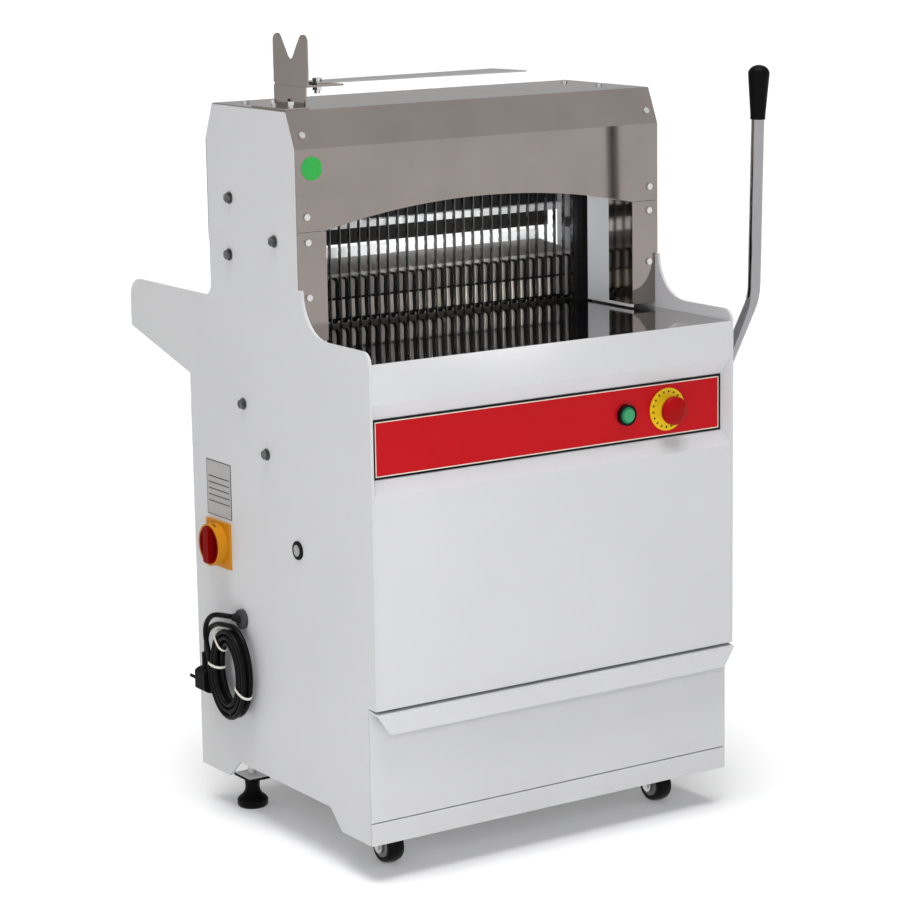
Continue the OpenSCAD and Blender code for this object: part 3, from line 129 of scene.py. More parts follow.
class Finish(Nodes):
    """A procedural material round one Principled shader."""

    def __init__(self, name, color, rough, metal=0.0, coat=0.0, specular=0.5):
        self.material = bpy.data.materials.new(name)
        self.material.use_nodes = True
        self.material.diffuse_color = (*color, 1.0)
        super().__init__(self.material.node_tree)
        self.shader = next(n for n in self.tree.nodes if n.type == "BSDF_PRINCIPLED")
        self.set("Base Color", (*color, 1.0))
        self.set("Roughness", rough)
        self.set("Metallic", metal)
        self.set("Coat Weight", coat)
        self.set("Specular IOR Level", specular)

    def set(self, name, value):
        self.put(self.shader.inputs[name], value)

    def place(self):
        """Object coordinates, in metres."""
        return self.node("ShaderNodeTexCoord", {}, {}, out=3)

    def axis(self, index):
        return self.node("ShaderNodeSeparateXYZ", {}, {0: self.place()}, out=index)

    def noise(self, scale, detail=2.0, stretch=(1.0, 1.0, 1.0)):
        """Noise with scale features a metre, finer along the axes with a larger stretch."""
        spread = self.node("ShaderNodeMapping", {}, {"Vector": self.place(), "Scale": stretch})
        return self.node("ShaderNodeTexNoise", {}, {"Vector": spread, "Scale": scale, "Detail": detail})

    def vary(self, dark, light, factor):
        """Lets the colour run from one tone to another with a factor."""
        self.set("Base Color", self.mix(dark, light, factor))

    def bump(self, height, depth, strength=1.0):
        """Relief of a height from 0 to 1, where 1 is depth metres."""
        values = {"Height": height, "Distance": depth, "Strength": strength}
        self.set("Normal", self.node("ShaderNodeBump", {}, values))


def dress(finish, *names):
    """Gives a finish to CAD nodes, by name."""
    for name in names:
        mesh = nodes[name].data
        mesh.materials.clear()
        mesh.materials.append(finish.material)


def coat_white(name):
    """White powder coat; returns the finish and its colour, so that a piece can add to it."""
    dust_full, dust_none, dust_share = 0.04, 0.16, 0.15
    peel_scale, peel_depth = 750.0, 0.0001
    paint = Finish(name, (0.59, 0.59, 0.59), 0.4, specular=0.3)
    tone = paint.noise(5.0, 3.0).ramp(0.25, 0.75)
    dust = (1 - paint.axis(2).ramp(dust_full, dust_none)) * paint.noise(28.0, 4.0).ramp(0.35, 0.8)
    fresh = paint.mix((0.580, 0.580, 0.585), (0.600, 0.600, 0.600), tone)
    color = paint.mix(fresh, (0.45, 0.435, 0.41), dust * dust_share)
    paint.set("Base Color", color)
    paint.set("Roughness", paint.noise(60.0, 3.0) * 0.12 + 0.32)
    paint.bump(paint.noise(peel_scale, 2.0), peel_depth, 0.25)
    return paint, color


white_paint = coat_white("white_paint")[0]
dress(white_paint, "base_plate", "cross_beams")


# Casters: zinc plated forks that swivel on king pins under screwed plates. The wheels have a black
# rubber tyre round a moulded grey hub.
zinc_plate = Finish("zinc_plate", (0.50, 0.50, 0.51), 0.3, metal=1.0)
cloud = zinc_plate.noise(90.0, 4.0)
zinc_plate.vary((0.40, 0.405, 0.42), (0.58, 0.58, 0.57), cloud.ramp(0.3, 0.7))
zinc_plate.set("Roughness", cloud * 0.22 + 0.18)
zinc_plate.bump(zinc_plate.noise(600.0), 0.00008, 0.3)
dress(zinc_plate, "caster_mounts", "left_caster_fork", "right_caster_fork")

wheel_low, wheel_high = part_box("left_caster_wheel")
axle = (wheel_low + wheel_high) / 2
hub_r = 0.0165
tyre_rubber = Finish("tyre_rubber", (0.005, 0.005, 0.005), 0.55, specular=0.06)
scuff = tyre_rubber.noise(140.0, 5.0).ramp(0.45, 0.75)
black_tyre = tyre_rubber.mix((0.003, 0.003, 0.003), (0.011, 0.0105, 0.010), scuff)
across, up = tyre_rubber.axis(1) - axle.y, tyre_rubber.axis(2) - axle.z
on_hub = (across * across + up * up) < hub_r ** 2
tyre_rubber.vary(black_tyre, (0.24, 0.235, 0.22), on_hub)
tyre_rubber.set("Roughness", scuff * 0.25 + 0.42)
tyre_rubber.bump(tyre_rubber.noise(900.0), 0.0001, 0.4)
dress(tyre_rubber, "left_caster_wheel", "right_caster_wheel")


# Levelling feet: bell shaped black mouldings on plated screws, under folded brackets. A bracket is painted
# brighter than the white coat as painted light on faces that sit in shade, and its lower plate is dark up to
# just under its top face.
moulded_black = Finish("moulded_black", (0.004, 0.004, 0.004), 0.4, specular=0.05)
grain = moulded_black.noise(1400.0, 2.0)
moulded_black.vary((0.002, 0.002, 0.002), (0.006, 0.006, 0.006), grain)
moulded_black.set("Roughness", grain * 0.2 + 0.3)
moulded_black.bump(grain, 0.00005, 0.5)

bracket_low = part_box("foot_brackets")[0].z
stem_from, plate_thick = bracket_low + 0.002, 0.0038
foot_finish = Finish("foot_finish", (0.004, 0.004, 0.004), 0.4, specular=0.05)
stem = foot_finish.axis(2) > stem_from
pimple = foot_finish.noise(1400.0, 2.0)
foot_black = foot_finish.mix((0.002, 0.002, 0.002), (0.006, 0.006, 0.006), pimple)
foot_finish.vary(foot_black, (0.55, 0.55, 0.54), stem)
foot_finish.set("Metallic", stem)
foot_finish.set("Roughness", pimple * 0.2 + 0.3)
dress(foot_finish, "left_foot", "right_foot")

# painted light: the bracket's light tone is far above the white coat's, standing in for light on its shaded
# faces
bracket_painted_light = Finish("bracket_painted_light", (0.5, 0.5, 0.5), 0.5, specular=0.04)
below_plate_top = bracket_painted_light.axis(2) < bracket_low + plate_thick
bracket_painted_light.vary((0.86, 0.86, 0.86), (0.003, 0.003, 0.003), below_plate_top)
bracket_painted_light.set("Roughness", bracket_painted_light.noise(90.0, 3.0) * 0.2 + 0.4)
dress(bracket_painted_light, "foot_brackets")


# Side panels and rear panel: laser cut and folded sheet, coated like the tray. The panels carry the
# lever shaft in black polymer bushes.
dress(white_paint, "left_side_panel", "right_side_panel", "rear_panel")
dress(moulded_black, "shaft_bushes")


# Drive under the table: painted motor, a black rubber belt from its plated pulley to a cast one, cast
# bearing blocks on the cross beams, and the plated eccentric shaft with its rods.
motor_enamel = Finish("motor_enamel", (0.06, 0.12, 0.20), 0.42)
fleck = motor_enamel.noise(320.0, 3.0)
motor_enamel.vary((0.05, 0.10, 0.17), (0.08, 0.15, 0.24), fleck)
motor_enamel.bump(fleck, 0.0002, 0.5)
dress(motor_enamel, "motor")

cast_grey = Finish("cast_grey", (0.14, 0.145, 0.15), 0.55, metal=0.6)
cast_skin = cast_grey.noise(260.0, 5.0)
cast_grey.vary((0.09, 0.095, 0.10), (0.19, 0.195, 0.20), cast_skin.ramp(0.3, 0.7))
cast_grey.set("Roughness", cast_skin * 0.3 + 0.38)
cast_grey.bump(cast_skin, 0.0003, 0.5)
dress(cast_grey, "crank_bearings", "driven_pulley")

dress(zinc_plate, "crankshaft", "front_conrods", "rear_conrods", "motor_pulley")

belt_rubber = Finish("belt_rubber", (0.010, 0.010, 0.010), 0.6, specular=0.2)
belt_rubber.vary((0.007, 0.007, 0.007), (0.022, 0.021, 0.020), belt_rubber.noise(180.0, 4.0))
dress(belt_rubber, "drive_belt")


# Blade frames: welded dark bars that slide in grooved rails. Each blade is a thin steel strip
# stretched between the bars, ground to a wavy edge on the side that meets the loaf.
frame_steel = Finish("frame_steel", (0.06, 0.06, 0.062), 0.45, metal=0.9)
mill = frame_steel.noise(40.0, 4.0, (1.0, 1.0, 9.0))
frame_steel.vary((0.04, 0.04, 0.042), (0.09, 0.09, 0.092), mill)
frame_steel.set("Roughness", mill * 0.25 + 0.32)
dress(frame_steel, "front_blade_frame", "rear_blade_frame", "blade_guides")


def grid_piece(name, grids, finish, body, ends="capped", smooth=True):
    """One mesh of grids of points. Each grid closes across its second parameter. Along the first one it is
    capped at its two ends, or joined end to start."""
    points, faces, soft, base = [], [], [], 0
    for grid in grids:
        rows, cols = grid.shape[:2]
        joined = ends == "joined"
        i, j = np.meshgrid(np.arange(rows - (not joined)), np.arange(cols), indexing="ij")
        k, m = (j + 1) % cols, (i + 1) % rows
        quads = np.stack([i * cols + j, i * cols + k, m * cols + k, m * cols + j], -1).reshape(-1, 4) + base
        faces += quads.tolist()
        soft += [smooth] * len(quads)
        if not joined:
            first = base + np.arange(cols)
            faces += [first[::-1].tolist(), (first + (rows - 1) * cols).tolist()]
            soft += [False, False]
        points.append(grid.reshape(-1, 3))
        base += rows * cols
    mesh = bpy.data.meshes.new(name)
    mesh.from_pydata(np.concatenate(points).tolist(), [], faces)
    mesh.polygons.foreach_set("use_smooth", soft)
    mesh.materials.append(finish.material)
    piece = bpy.data.objects.new(name, mesh)
    bpy.context.scene.collection.objects.link(piece)
    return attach(piece, body)


def wavy_strip(x, low, high, thick, wave, depth):
    """Six-point section carried up in Z. The back is square, and the edge lies at
    Y = high.y - depth (1 - cos(turns of the wave)) / 2."""
    rows, tip_share = 220, 0.12
    z = np.linspace(low.z, high.z, rows)
    edge = high.y - depth * (1 - np.cos(2 * np.pi * (z - low.z) / wave)) / 2
    heel = edge - 2 * depth
    half, tip = thick / 2 + 0 * z, tip_share * thick + 0 * z
    back = low.y + 0 * z
    x_cols = np.stack([-half, half, half, tip, -tip, -half], 1) + x
    y_cols = np.stack([back, back, heel, edge, edge, heel], 1)
    return np.stack([x_cols, y_cols, np.repeat(z[:, None], 6, 1)], -1)


blade_steel = Finish("blade_steel", (0.13, 0.13, 0.133), 0.2, metal=1.0)
ground = blade_steel.noise(30.0, 3.0, (1.0, 60.0, 1.0))
blade_steel.vary((0.09, 0.09, 0.092), (0.18, 0.18, 0.18), ground)
blade_steel.set("Roughness", ground * 0.2 + 0.12)
blade_count, blade_t, wave_long, wave_deep = 16, 0.0012, 0.0125, 0.0011
for side in ("front", "rear"):
    low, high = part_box(side + "_blades")
    stations = np.linspace(low.x + blade_t / 2, high.x - blade_t / 2, blade_count)
    strips = [wavy_strip(x, low, high, blade_t, wave_long, wave_deep) for x in stations]
    blades = grid_piece(side + "_wavy_blades", strips, blade_steel, side + "_frame", smooth=False)
    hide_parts(side + "_blades")


# Pusher: a steel plate and a white upstand, carried by cast side plates and sleeves that slide on two ground
# rods. The plate's lower part is painted cream as painted light, and the upstand's white is made brighter as
# painted light. Its comb is a row of bent black wire loops on two cross rods, one loop between each two
# blades.
ground_rod = Finish("ground_rod", (0.45, 0.45, 0.46), 0.12, metal=1.0)
turned = ground_rod.noise(25.0, 3.0, (1.0, 40.0, 1.0))
ground_rod.vary((0.40, 0.40, 0.41), (0.50, 0.50, 0.50), turned)
ground_rod.set("Roughness", turned * 0.12 + 0.06)
dress(ground_rod, "guide_rods")
dress(cast_grey, "pusher_slides", "rod_blocks")

# painted light: the channel walls and the pusher's upstand sit in shade, so their white is made far brighter
# than the coat elsewhere
painted_light_white = coat_white("painted_light_white")[0]
painted_light_white.vary((0.90, 0.90, 0.90), (0.94, 0.94, 0.94), painted_light_white.noise(6.0, 3.0))
dress(painted_light_white, "pusher_bar")

# painted light: the cream patch on the plate's lower part stands in for the pale rear deck seen between the
# loops, brightened for the shade it sits in
face_low, face_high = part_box("pusher_plate")
patch_top, patch_end = face_low.z + 0.030, face_high.x - 0.040
plate_with_painted_light = Finish("plate_with_painted_light", (0.6, 0.56, 0.5), 0.5, specular=0.2)
painted_light_patch = (plate_with_painted_light.axis(2) < patch_top) * (plate_with_painted_light.axis(0) < patch_end)
steel_tone = plate_with_painted_light.mix((0.40, 0.385, 0.37), (0.48, 0.46, 0.44), plate_with_painted_light.noise(9.0, 4.0))
painted_light_cream = plate_with_painted_light.mix((0.86, 0.79, 0.68), (0.92, 0.86, 0.75), plate_with_painted_light.noise(25.0, 3.0))
plate_with_painted_light.vary(steel_tone, painted_light_cream, painted_light_patch)
plate_with_painted_light.set("Metallic", 0.5 - painted_light_patch * 0.5)
dress(plate_with_painted_light, "pusher_plate")


def tube_grid(path, radius, sides):
    """Circle carried along a path: ring = path + radius (cos a N + sin a B). N is the normal of the ring
    before, made square to the path again, so that the tube doesn't twist."""
    along = np.gradient(path, axis=0)
    along /= np.linalg.norm(along, axis=1, keepdims=True)
    normal = np.empty_like(path)
    upward = np.array([0.0, 0.0, 1.0])
    first = upward - (upward @ along[0]) * along[0]
    normal[0] = first / np.linalg.norm(first)
    for i in range(1, len(path)):
        v = normal[i - 1] - (normal[i - 1] @ along[i]) * along[i]
        normal[i] = v / np.linalg.norm(v)
    binormal = np.cross(along, normal)
    a = np.linspace(0, 2 * np.pi, sides, endpoint=False)[None, :, None]
    return path[:, None] + radius * (np.cos(a) * normal[:, None] + np.sin(a) * binormal[:, None])


def rounded(corners, rounds):
    """Closed outline with its corners cut in turn at a quarter and three quarters of each side."""
    for _ in range(rounds):
        after = np.roll(corners, -1, axis=0)
        pairs = np.stack([0.75 * corners + 0.25 * after, 0.25 * corners + 0.75 * after], 1)
        corners = pairs.reshape(-1, corners.shape[1])
    return corners


comb_black = Finish("comb_black", (0.004, 0.004, 0.004), 0.2, specular=0.05)
rub = comb_black.noise(220.0, 4.0)
comb_black.vary((0.002, 0.002, 0.002), (0.007, 0.007, 0.007), rub)
comb_black.set("Roughness", rub * 0.2 + 0.14)
low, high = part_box("comb_fingers")
shine_from, shine_full = high.z - 0.010, high.z - 0.005
comb_black.set("Coat Weight", comb_black.axis(2).ramp(shine_from, shine_full))
wire, wire_sides, loop_count, loop_deep, end_gap = 0.0021, 10, 31, 0.020, 0.004
cross_rod_r, cross_rod_sides = 0.0015, 12
y1, z0, z1 = high.y - wire, low.z + wire, high.z - 0.006
y0 = y1 - loop_deep
y_mid, z_mid = (y0 + y1) / 2, (z0 + z1) / 2
knee = z0 + 0.42 * (z1 - z0)
front_bend = [[y0, z1], [y0 + 0.001, (z1 + knee) / 2], [y0 + 0.002, knee], [y0, z0 + 0.008], [y0 + 0.003, z0]]
back_bend = [[y_mid, z0], [y1, z0], [y1, z_mid], [y1, z1], [y_mid, z1]]
outline = rounded(np.array(front_bend + back_bend), 3)
loop = np.concatenate([np.zeros((len(outline), 1)), outline], 1)
after, before = np.roll(loop, -1, axis=0), np.roll(loop, 1, axis=0)
along = (after - before) / np.linalg.norm(after - before, axis=1, keepdims=True)
sideways = np.array([1.0, 0.0, 0.0])
turn_in = np.cross(along, sideways)
a = np.linspace(0, 2 * np.pi, wire_sides, endpoint=False)[None, :, None]
ring = loop[:, None] + wire * (np.cos(a) * sideways + np.sin(a) * turn_in[:, None])
stations = np.linspace(low.x + end_gap, high.x - end_gap, loop_count)
loops = [ring + np.array([x, 0, 0]) for x in stations]
comb_loops = grid_piece("comb_loops", loops, comb_black, "pusher", ends="joined")
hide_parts("comb_fingers")
rod_x = np.linspace(low.x, high.x, 2)
rod_paths = [np.stack([rod_x, 0 * rod_x + y1, 0 * rod_x + z], 1) for z in (z0 + 0.001, z_mid)]
rods = [tube_grid(path, cross_rod_r, cross_rod_sides) for path in rod_paths]
grid_piece("comb_rods", rods, comb_black, "pusher")


# Tables and channel walls: the front table is mirror polished stainless sheet with hairlines from wiping, and
# the rear one is satin. The inner walls of the bread channel are given a much brighter white as painted
# light.
def polish(name, dark, light, rough):
    """Polished sheet: smears change its tone and sharpness, and hairlines run along X."""
    steel = Finish(name, light, rough, metal=1.0)
    smear = steel.noise(9.0, 5.0).ramp(0.3, 0.8)
    hairline = steel.noise(55.0, 2.0, (1.0, 30.0, 30.0))
    steel.vary(light, dark, smear)
    steel.set("Roughness", smear * 0.04 + hairline * 0.04 + rough)
    return steel


mirror_steel = polish("mirror_steel", (0.46, 0.445, 0.44), (0.52, 0.505, 0.50), 0.02)
dress(mirror_steel, "front_table")
satin_steel = polish("satin_steel", (0.42, 0.405, 0.38), (0.50, 0.48, 0.45), 0.30)
dress(satin_steel, "rear_table")
dress(painted_light_white, "channel_walls")


# Hoods, window strips and top cover: folded and polished stainless sheet in front and on top, screwed
# on. The rear hood is coated white, with a near black band on its inner face as painted shade, and a black
# sheet hangs from it as painted shade.
hood_steel = polish("hood_steel", (0.285, 0.250, 0.234), (0.325, 0.286, 0.268), 0.05)
dress(hood_steel, "front_hood", "top_cover", "front_strips")

rear_low, rear_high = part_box("rear_hood")
white_with_painted_shade, rear_white = coat_white("white_with_painted_shade")
# painted shade: a near black band on the hood's inner face stands in for the dark inside of the tower
shade_low, shade_top, shade_front = rear_low.z + 0.0103, rear_high.z - 0.0510, rear_high.y - 0.0008
shade_band = (white_with_painted_shade.axis(2) > shade_low) * (white_with_painted_shade.axis(2) < shade_top)
painted_shade_area = (white_with_painted_shade.axis(1) < shade_front) * shade_band
painted_shade_tone = white_with_painted_shade.mix((0.006, 0.006, 0.006), (0.014, 0.014, 0.014), white_with_painted_shade.noise(400.0, 4.0))
white_with_painted_shade.set("Base Color", white_with_painted_shade.mix(rear_white, painted_shade_tone, painted_shade_area))
dress(white_with_painted_shade, "rear_hood")


def slab(low, high):
    """Box as a four-point section carried along X."""
    y = np.array([low[1], high[1], high[1], low[1]])
    z = np.array([low[2], low[2], high[2], high[2]])
    return np.stack([np.stack([0 * y + x, y, z], 1) for x in (low[0], high[0])])


# painted shade: a black sheet hung across the gap behind the blades, to darken what shows through it
shade_sheet_y, shade_sheet_t = rear_high.y + 0.0002, 0.002
shade_sheet_low = (rear_low.x + 0.046, shade_sheet_y, rear_low.z - 0.0235)
shade_sheet_high = (rear_high.x - 0.020, shade_sheet_y + shade_sheet_t, rear_low.z + 0.018)
shade_sheet = slab(shade_sheet_low, shade_sheet_high)
grid_piece("rear_shade_sheet", [shade_sheet], belt_rubber, "body", smooth=False)


# Front panel and its control strip: the coated panel has a bevelled recess, and the red laminate in
# it has a black outer line and a cream line inside that.
dress(white_paint, "front_panel")
strip_low, strip_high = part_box("control_strip")
strip_mid = (strip_low + strip_high) / 2
strip_half = (strip_high - strip_low) / 2
black_wide, cream_end = 0.0032, 0.0046
red_laminate = Finish("red_laminate", (0.60, 0.004, 0.010), 0.35, specular=0.12)
from_end = strip_half.x - abs(red_laminate.axis(0) - strip_mid.x)
from_edge = strip_half.z - abs(red_laminate.axis(2) - strip_mid.z)
inward = from_end.least(from_edge)
field = red_laminate.mix((0.46, 0.003, 0.006), (0.51, 0.004, 0.009), red_laminate.noise(9.0, 3.0))
cream_line = (inward > black_wide) * (inward < cream_end)
lined = red_laminate.mix(field, (0.72, 0.66, 0.56), cream_line)
red_laminate.vary(lined, (0.005, 0.005, 0.005), inward < black_wide)
red_laminate.set("Roughness", red_laminate.noise(300.0) * 0.12 + 0.28)
dress(red_laminate, "control_strip")


# Start and stop buttons: a green moulded cap in a black bezel with a green rim, and a red mushroom cap
# on a yellow disc with plain dark ticks. Both are clamped through the strip by nuts behind it.
green_cap = Finish("green_cap", (0.035, 0.30, 0.125), 0.25, specular=0.3)
green_cap.vary((0.025, 0.27, 0.11), (0.05, 0.33, 0.14), green_cap.noise(60.0))
dress(green_cap, "start_button")

bezel_low, bezel_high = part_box("start_bezel")
bezel_mid = (bezel_low + bezel_high) / 2
rim_r = 0.0113
lens_bezel = Finish("lens_bezel", (0.004, 0.004, 0.004), 0.35, specular=0.1)
right, rise = lens_bezel.axis(0) - bezel_mid.x, lens_bezel.axis(2) - bezel_mid.z
lens_rim = (right * right + rise * rise) < rim_r ** 2
black_ring = lens_bezel.mix((0.002, 0.002, 0.002), (0.006, 0.006, 0.006), lens_bezel.noise(900.0))
green_rim = lens_bezel.mix((0.015, 0.17, 0.07), (0.025, 0.22, 0.09), lens_bezel.noise(60.0))
lens_bezel.vary(black_ring, green_rim, lens_rim)
dress(lens_bezel, "start_bezel")

red_cap = Finish("red_cap", (0.37, 0.003, 0.004), 0.3, specular=0.08)
red_cap.vary((0.30, 0.002, 0.003), (0.36, 0.004, 0.005), red_cap.noise(50.0))
red_cap.set("Roughness", red_cap.noise(400.0) * 0.12 + 0.22)
dress(red_cap, "stop_button")

disc_low, disc_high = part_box("stop_ring")
disc_mid = (disc_low + disc_high) / 2
tick_in, tick_out, tick_count = 0.0235, 0.0265, 18.0
ticked_disc = Finish("ticked_disc", (0.76, 0.52, 0.013), 0.4, specular=0.1)
right, rise = ticked_disc.axis(0) - disc_mid.x, ticked_disc.axis(2) - disc_mid.z
radius = (right * right + rise * rise).calc("SQRT")
round_way = rise.calc("ARCTAN2", right)
tick = (round_way * tick_count).calc("SINE") > 0.55
tick_band = (radius > tick_in) * (radius < tick_out) * tick
fresh_yellow = ticked_disc.mix((0.72, 0.49, 0.011), (0.80, 0.55, 0.015), ticked_disc.noise(45.0))
ticked_disc.vary(fresh_yellow, (0.02, 0.018, 0.012), tick_band)
dress(ticked_disc, "stop_ring")


# Main switch: a yellow moulded plate and collar, screwed to the left panel, with a dark red cupped knob
# in it. A small foil plate with a border and ruled lines sticks to the panel above it.
yellow_plastic = Finish("yellow_plastic", (0.53, 0.215, 0.009), 0.4, specular=0.08)
yellow_plastic.vary((0.50, 0.20, 0.008), (0.56, 0.23, 0.011), yellow_plastic.noise(45.0))
yellow_plastic.set("Roughness", yellow_plastic.noise(500.0) * 0.15 + 0.32)
dress(yellow_plastic, "switch_plate")

dark_red = Finish("dark_red", (0.20, 0.001, 0.001), 0.35, specular=0.03)
dark_red.vary((0.18, 0.001, 0.001), (0.23, 0.002, 0.002), dark_red.noise(50.0))
dark_red.set("Roughness", dark_red.noise(400.0) * 0.12 + 0.28)
dress(dark_red, "switch_knob")

left_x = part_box("left_side_panel")[0].x
switch_low, switch_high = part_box("switch_plate")
switch_y, switch_z = (switch_low.y + switch_high.y) / 2, (switch_low.z + switch_high.z) / 2
plate_t, plate_tall, border_wide, line_inset = 0.0006, 0.080, 0.0011, 0.005
plate_low = (left_x - plate_t, switch_y - 0.037, switch_z + 0.039)
plate_high = (left_x, switch_y + 0.033, plate_low[2] + plate_tall)
lines_low, lines_high, line_rate = 0.017, 0.062, 698.0
foil = Finish("foil", (0.40, 0.395, 0.385), 0.35, metal=0.2)
from_side = (foil.axis(1) - plate_low[1]).least(plate_high[1] - foil.axis(1))
height = foil.axis(2) - plate_low[2]
from_rim = from_side.least(height).least(plate_tall - height)
ruled = (height > lines_low) * (height < lines_high) * ((height * line_rate).calc("SINE") > 0.82)
border = (from_rim < border_wide).most(ruled * (from_side > line_inset))
foil_tone = foil.mix((0.36, 0.355, 0.345), (0.45, 0.445, 0.435), foil.noise(30.0, 3.0))
foil.vary(foil_tone, (0.03, 0.03, 0.03), border)
rating_plate = grid_piece("rating_plate", [slab(plate_low, plate_high)], foil, "body", smooth=False)


# Crumb drawer: a plated sheet tray that slides on plated runners under the blades. Its coated front is
# folded out into a lip, which it is pulled by.
dress(white_paint, "drawer_front")
dress(zinc_plate, "crumb_drawer", "drawer_runners")


# Lever: a bent chromed tube with a black moulded grip on its end. It is fixed to the end of a plated
# cross shaft, whose arms draw the pusher.
chrome = Finish("chrome", (0.36, 0.36, 0.37), 0.06, metal=1.0)
bloom = chrome.noise(70.0, 4.0)
chrome.vary((0.34, 0.335, 0.345), (0.39, 0.385, 0.395), bloom)
chrome.set("Roughness", bloom * 0.08 + 0.03)
dress(chrome, "lever_tube")
dress(moulded_black, "lever_grip")
dress(zinc_plate, "lever_shaft")


# Cord: a grey gland with a dark boot, a black flexible lead tied in a long coil of two layers against
# the panel, three pale ties round it, and a moulded plug that hangs beside it.
gland_rubber = Finish("gland_rubber", (0.05, 0.05, 0.052), 0.5, specular=0.1)
nut = gland_rubber.mix((0.04, 0.04, 0.043), (0.07, 0.07, 0.073), gland_rubber.noise(200.0, 3.0))
boot_x = left_x - 0.0064
gland_rubber.vary(nut, (0.008, 0.008, 0.008), gland_rubber.axis(0) < boot_x)
dress(gland_rubber, "cord_gland")


def spline(points, steps):
    """Uniform cubic B-spline: each span blends four control points by the basis polynomials."""
    t = np.arange(steps)[:, None] / steps
    rising, falling = 3 * t + 3 * t ** 2 - 3 * t ** 3 + 1, 3 * t ** 3 - 6 * t ** 2 + 4
    basis = np.concatenate([(1 - t) ** 3, falling, rising, t ** 3], 1) / 6
    spans = np.stack([points[i:i + 4] for i in range(len(points) - 3)])
    return np.einsum("tk,skc->stc", basis, spans).reshape(-1, 3)


def eased_about(point, way, reach=0.014):
    """Three control points in line, with which the spline passes the middle one along that way."""
    return [point - reach * way, point, point + reach * way]


cord_d = 0.0075
row_y, row_z = -0.326010, 0.055  # the machine's own origin in this frame
boot_way = np.array([-0.72, 0.68, 0.14])
boot_way /= np.linalg.norm(boot_way)
boot_long = 0.016
cord_start = np.array([left_x, row_y + 0.353, row_z + 0.245]) + boot_long * boot_way
coil_y, coil_z, coil_x = row_y + 0.366, row_z + 0.166, left_x - 0.021
coil_ry, coil_rz, coil_step = 0.052, 0.067, 0.0088
coil_turns, coil_points, climb_turns = 6 - 85 / 360, 600, 0.5
turn = np.linspace(0, coil_turns, coil_points)
coil_angle = -2 * np.pi * turn
inset = coil_step * np.minimum(turn, coil_turns - turn)
climb = np.clip((turn - coil_turns / 2 + climb_turns / 2) / climb_turns, 0, 1)
coil = np.stack([
    coil_x + coil_step * climb * climb * (3 - 2 * climb),
    coil_y + (coil_ry - inset) * np.cos(coil_angle),
    coil_z + (coil_rz - inset) * np.sin(coil_angle)], 1)
coil_way = np.stack([0 * turn, coil_ry * np.sin(coil_angle), -coil_rz * np.cos(coil_angle)], 1)
coil_way /= np.linalg.norm(coil_way, axis=1, keepdims=True)
cord_end = np.array([left_x - 0.015, coil_y + 0.072, row_z + 0.180])
lead_end = cord_end + [0, 0, cord_d]
lead_in = np.array(eased_about(cord_start + cord_d * boot_way, boot_way) + [
    [left_x - 0.031, coil_y + 0.030, row_z + 0.246], [left_x - 0.031, coil_y + 0.050, row_z + 0.222]
] + eased_about(coil[0], coil_way[0]))
lead_out = np.array(eased_about(coil[-1], coil_way[-1]) + [
    [left_x - 0.012, coil_y + 0.044, row_z + 0.229], [left_x - 0.014, coil_y + 0.068, row_z + 0.216]
] + eased_about(lead_end, np.array([0, 0, -1.0])))
span_steps, lead_sides = 10, 16
route = np.concatenate([
    [cord_start], spline(lead_in, span_steps), coil, spline(lead_out, span_steps)[1:], [lead_end, cord_end]])

cord_rubber = Finish("cord_rubber", (0.004, 0.004, 0.004), 0.3, specular=0.08)
matt = cord_rubber.noise(300.0, 3.0)
cord_rubber.vary((0.002, 0.002, 0.002), (0.006, 0.006, 0.006), matt)
cord_rubber.set("Roughness", matt * 0.2 + 0.2)
mains_lead = grid_piece("mains_lead", [tube_grid(route, cord_d / 2, lead_sides)], cord_rubber, "body")
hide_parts("mains_cord")
dress(moulded_black, "mains_plug")


def tie_band(angle, thick=0.001, width=0.0035):
    """Flat band carried round the coil's section: a rounded box across the turns at one angle of the coil."""
    out_way = np.array([0, math.cos(angle), math.sin(angle)])
    across_coil = np.array([0, coil_ry * math.cos(angle), coil_rz * math.sin(angle)])
    edge = np.array([coil_x + coil_step / 2, coil_y, coil_z]) + across_coil
    outer, inner = 0.0044, -0.0295
    half_x = coil_step / 2 + outer
    flat = rounded(np.array([[-half_x, outer], [half_x, outer], [half_x, inner], [-half_x, inner]]), 3)
    middle = flat.mean(0)
    away = np.sign(flat - middle) * np.abs((flat - middle) / (half_x, (outer - inner) / 2)) ** 6
    away /= np.linalg.norm(away, axis=1, keepdims=True)
    sideways = np.cross(np.array([1.0, 0, 0]), out_way)

    def lifted(lift, shift):
        """The band's outline, moved outwards by lift and along the cord by shift."""
        q = flat + lift * away
        return edge + q[:, :1] * np.array([1.0, 0, 0]) + q[:, 1:] * out_way + shift * sideways

    half = width / 2
    return np.stack([lifted(0, -half), lifted(0, half), lifted(thick, half), lifted(thick, -half)], 1)


tie_plastic = Finish("tie_plastic", (0.72, 0.69, 0.62), 0.45, specular=0.3)
tie_plastic.vary((0.66, 0.63, 0.56), (0.76, 0.73, 0.67), tie_plastic.noise(250.0, 2.0))
bands = [tie_band(math.radians(angle)) for angle in (52, 4, -158)]
grid_piece("cord_ties", bands, tie_plastic, "body", ends="joined", smooth=False)


# Bag holder: a folded stainless bracket with its fork, screwed to the cover, and a thin polished tongue
# on a bolt. A plain green disc sticks to the hood below it.
dress(hood_steel, "bag_bracket")
bright_steel = polish("bright_steel", (0.40, 0.388, 0.392), (0.46, 0.448, 0.452), 0.04)
dress(bright_steel, "bag_tongue")

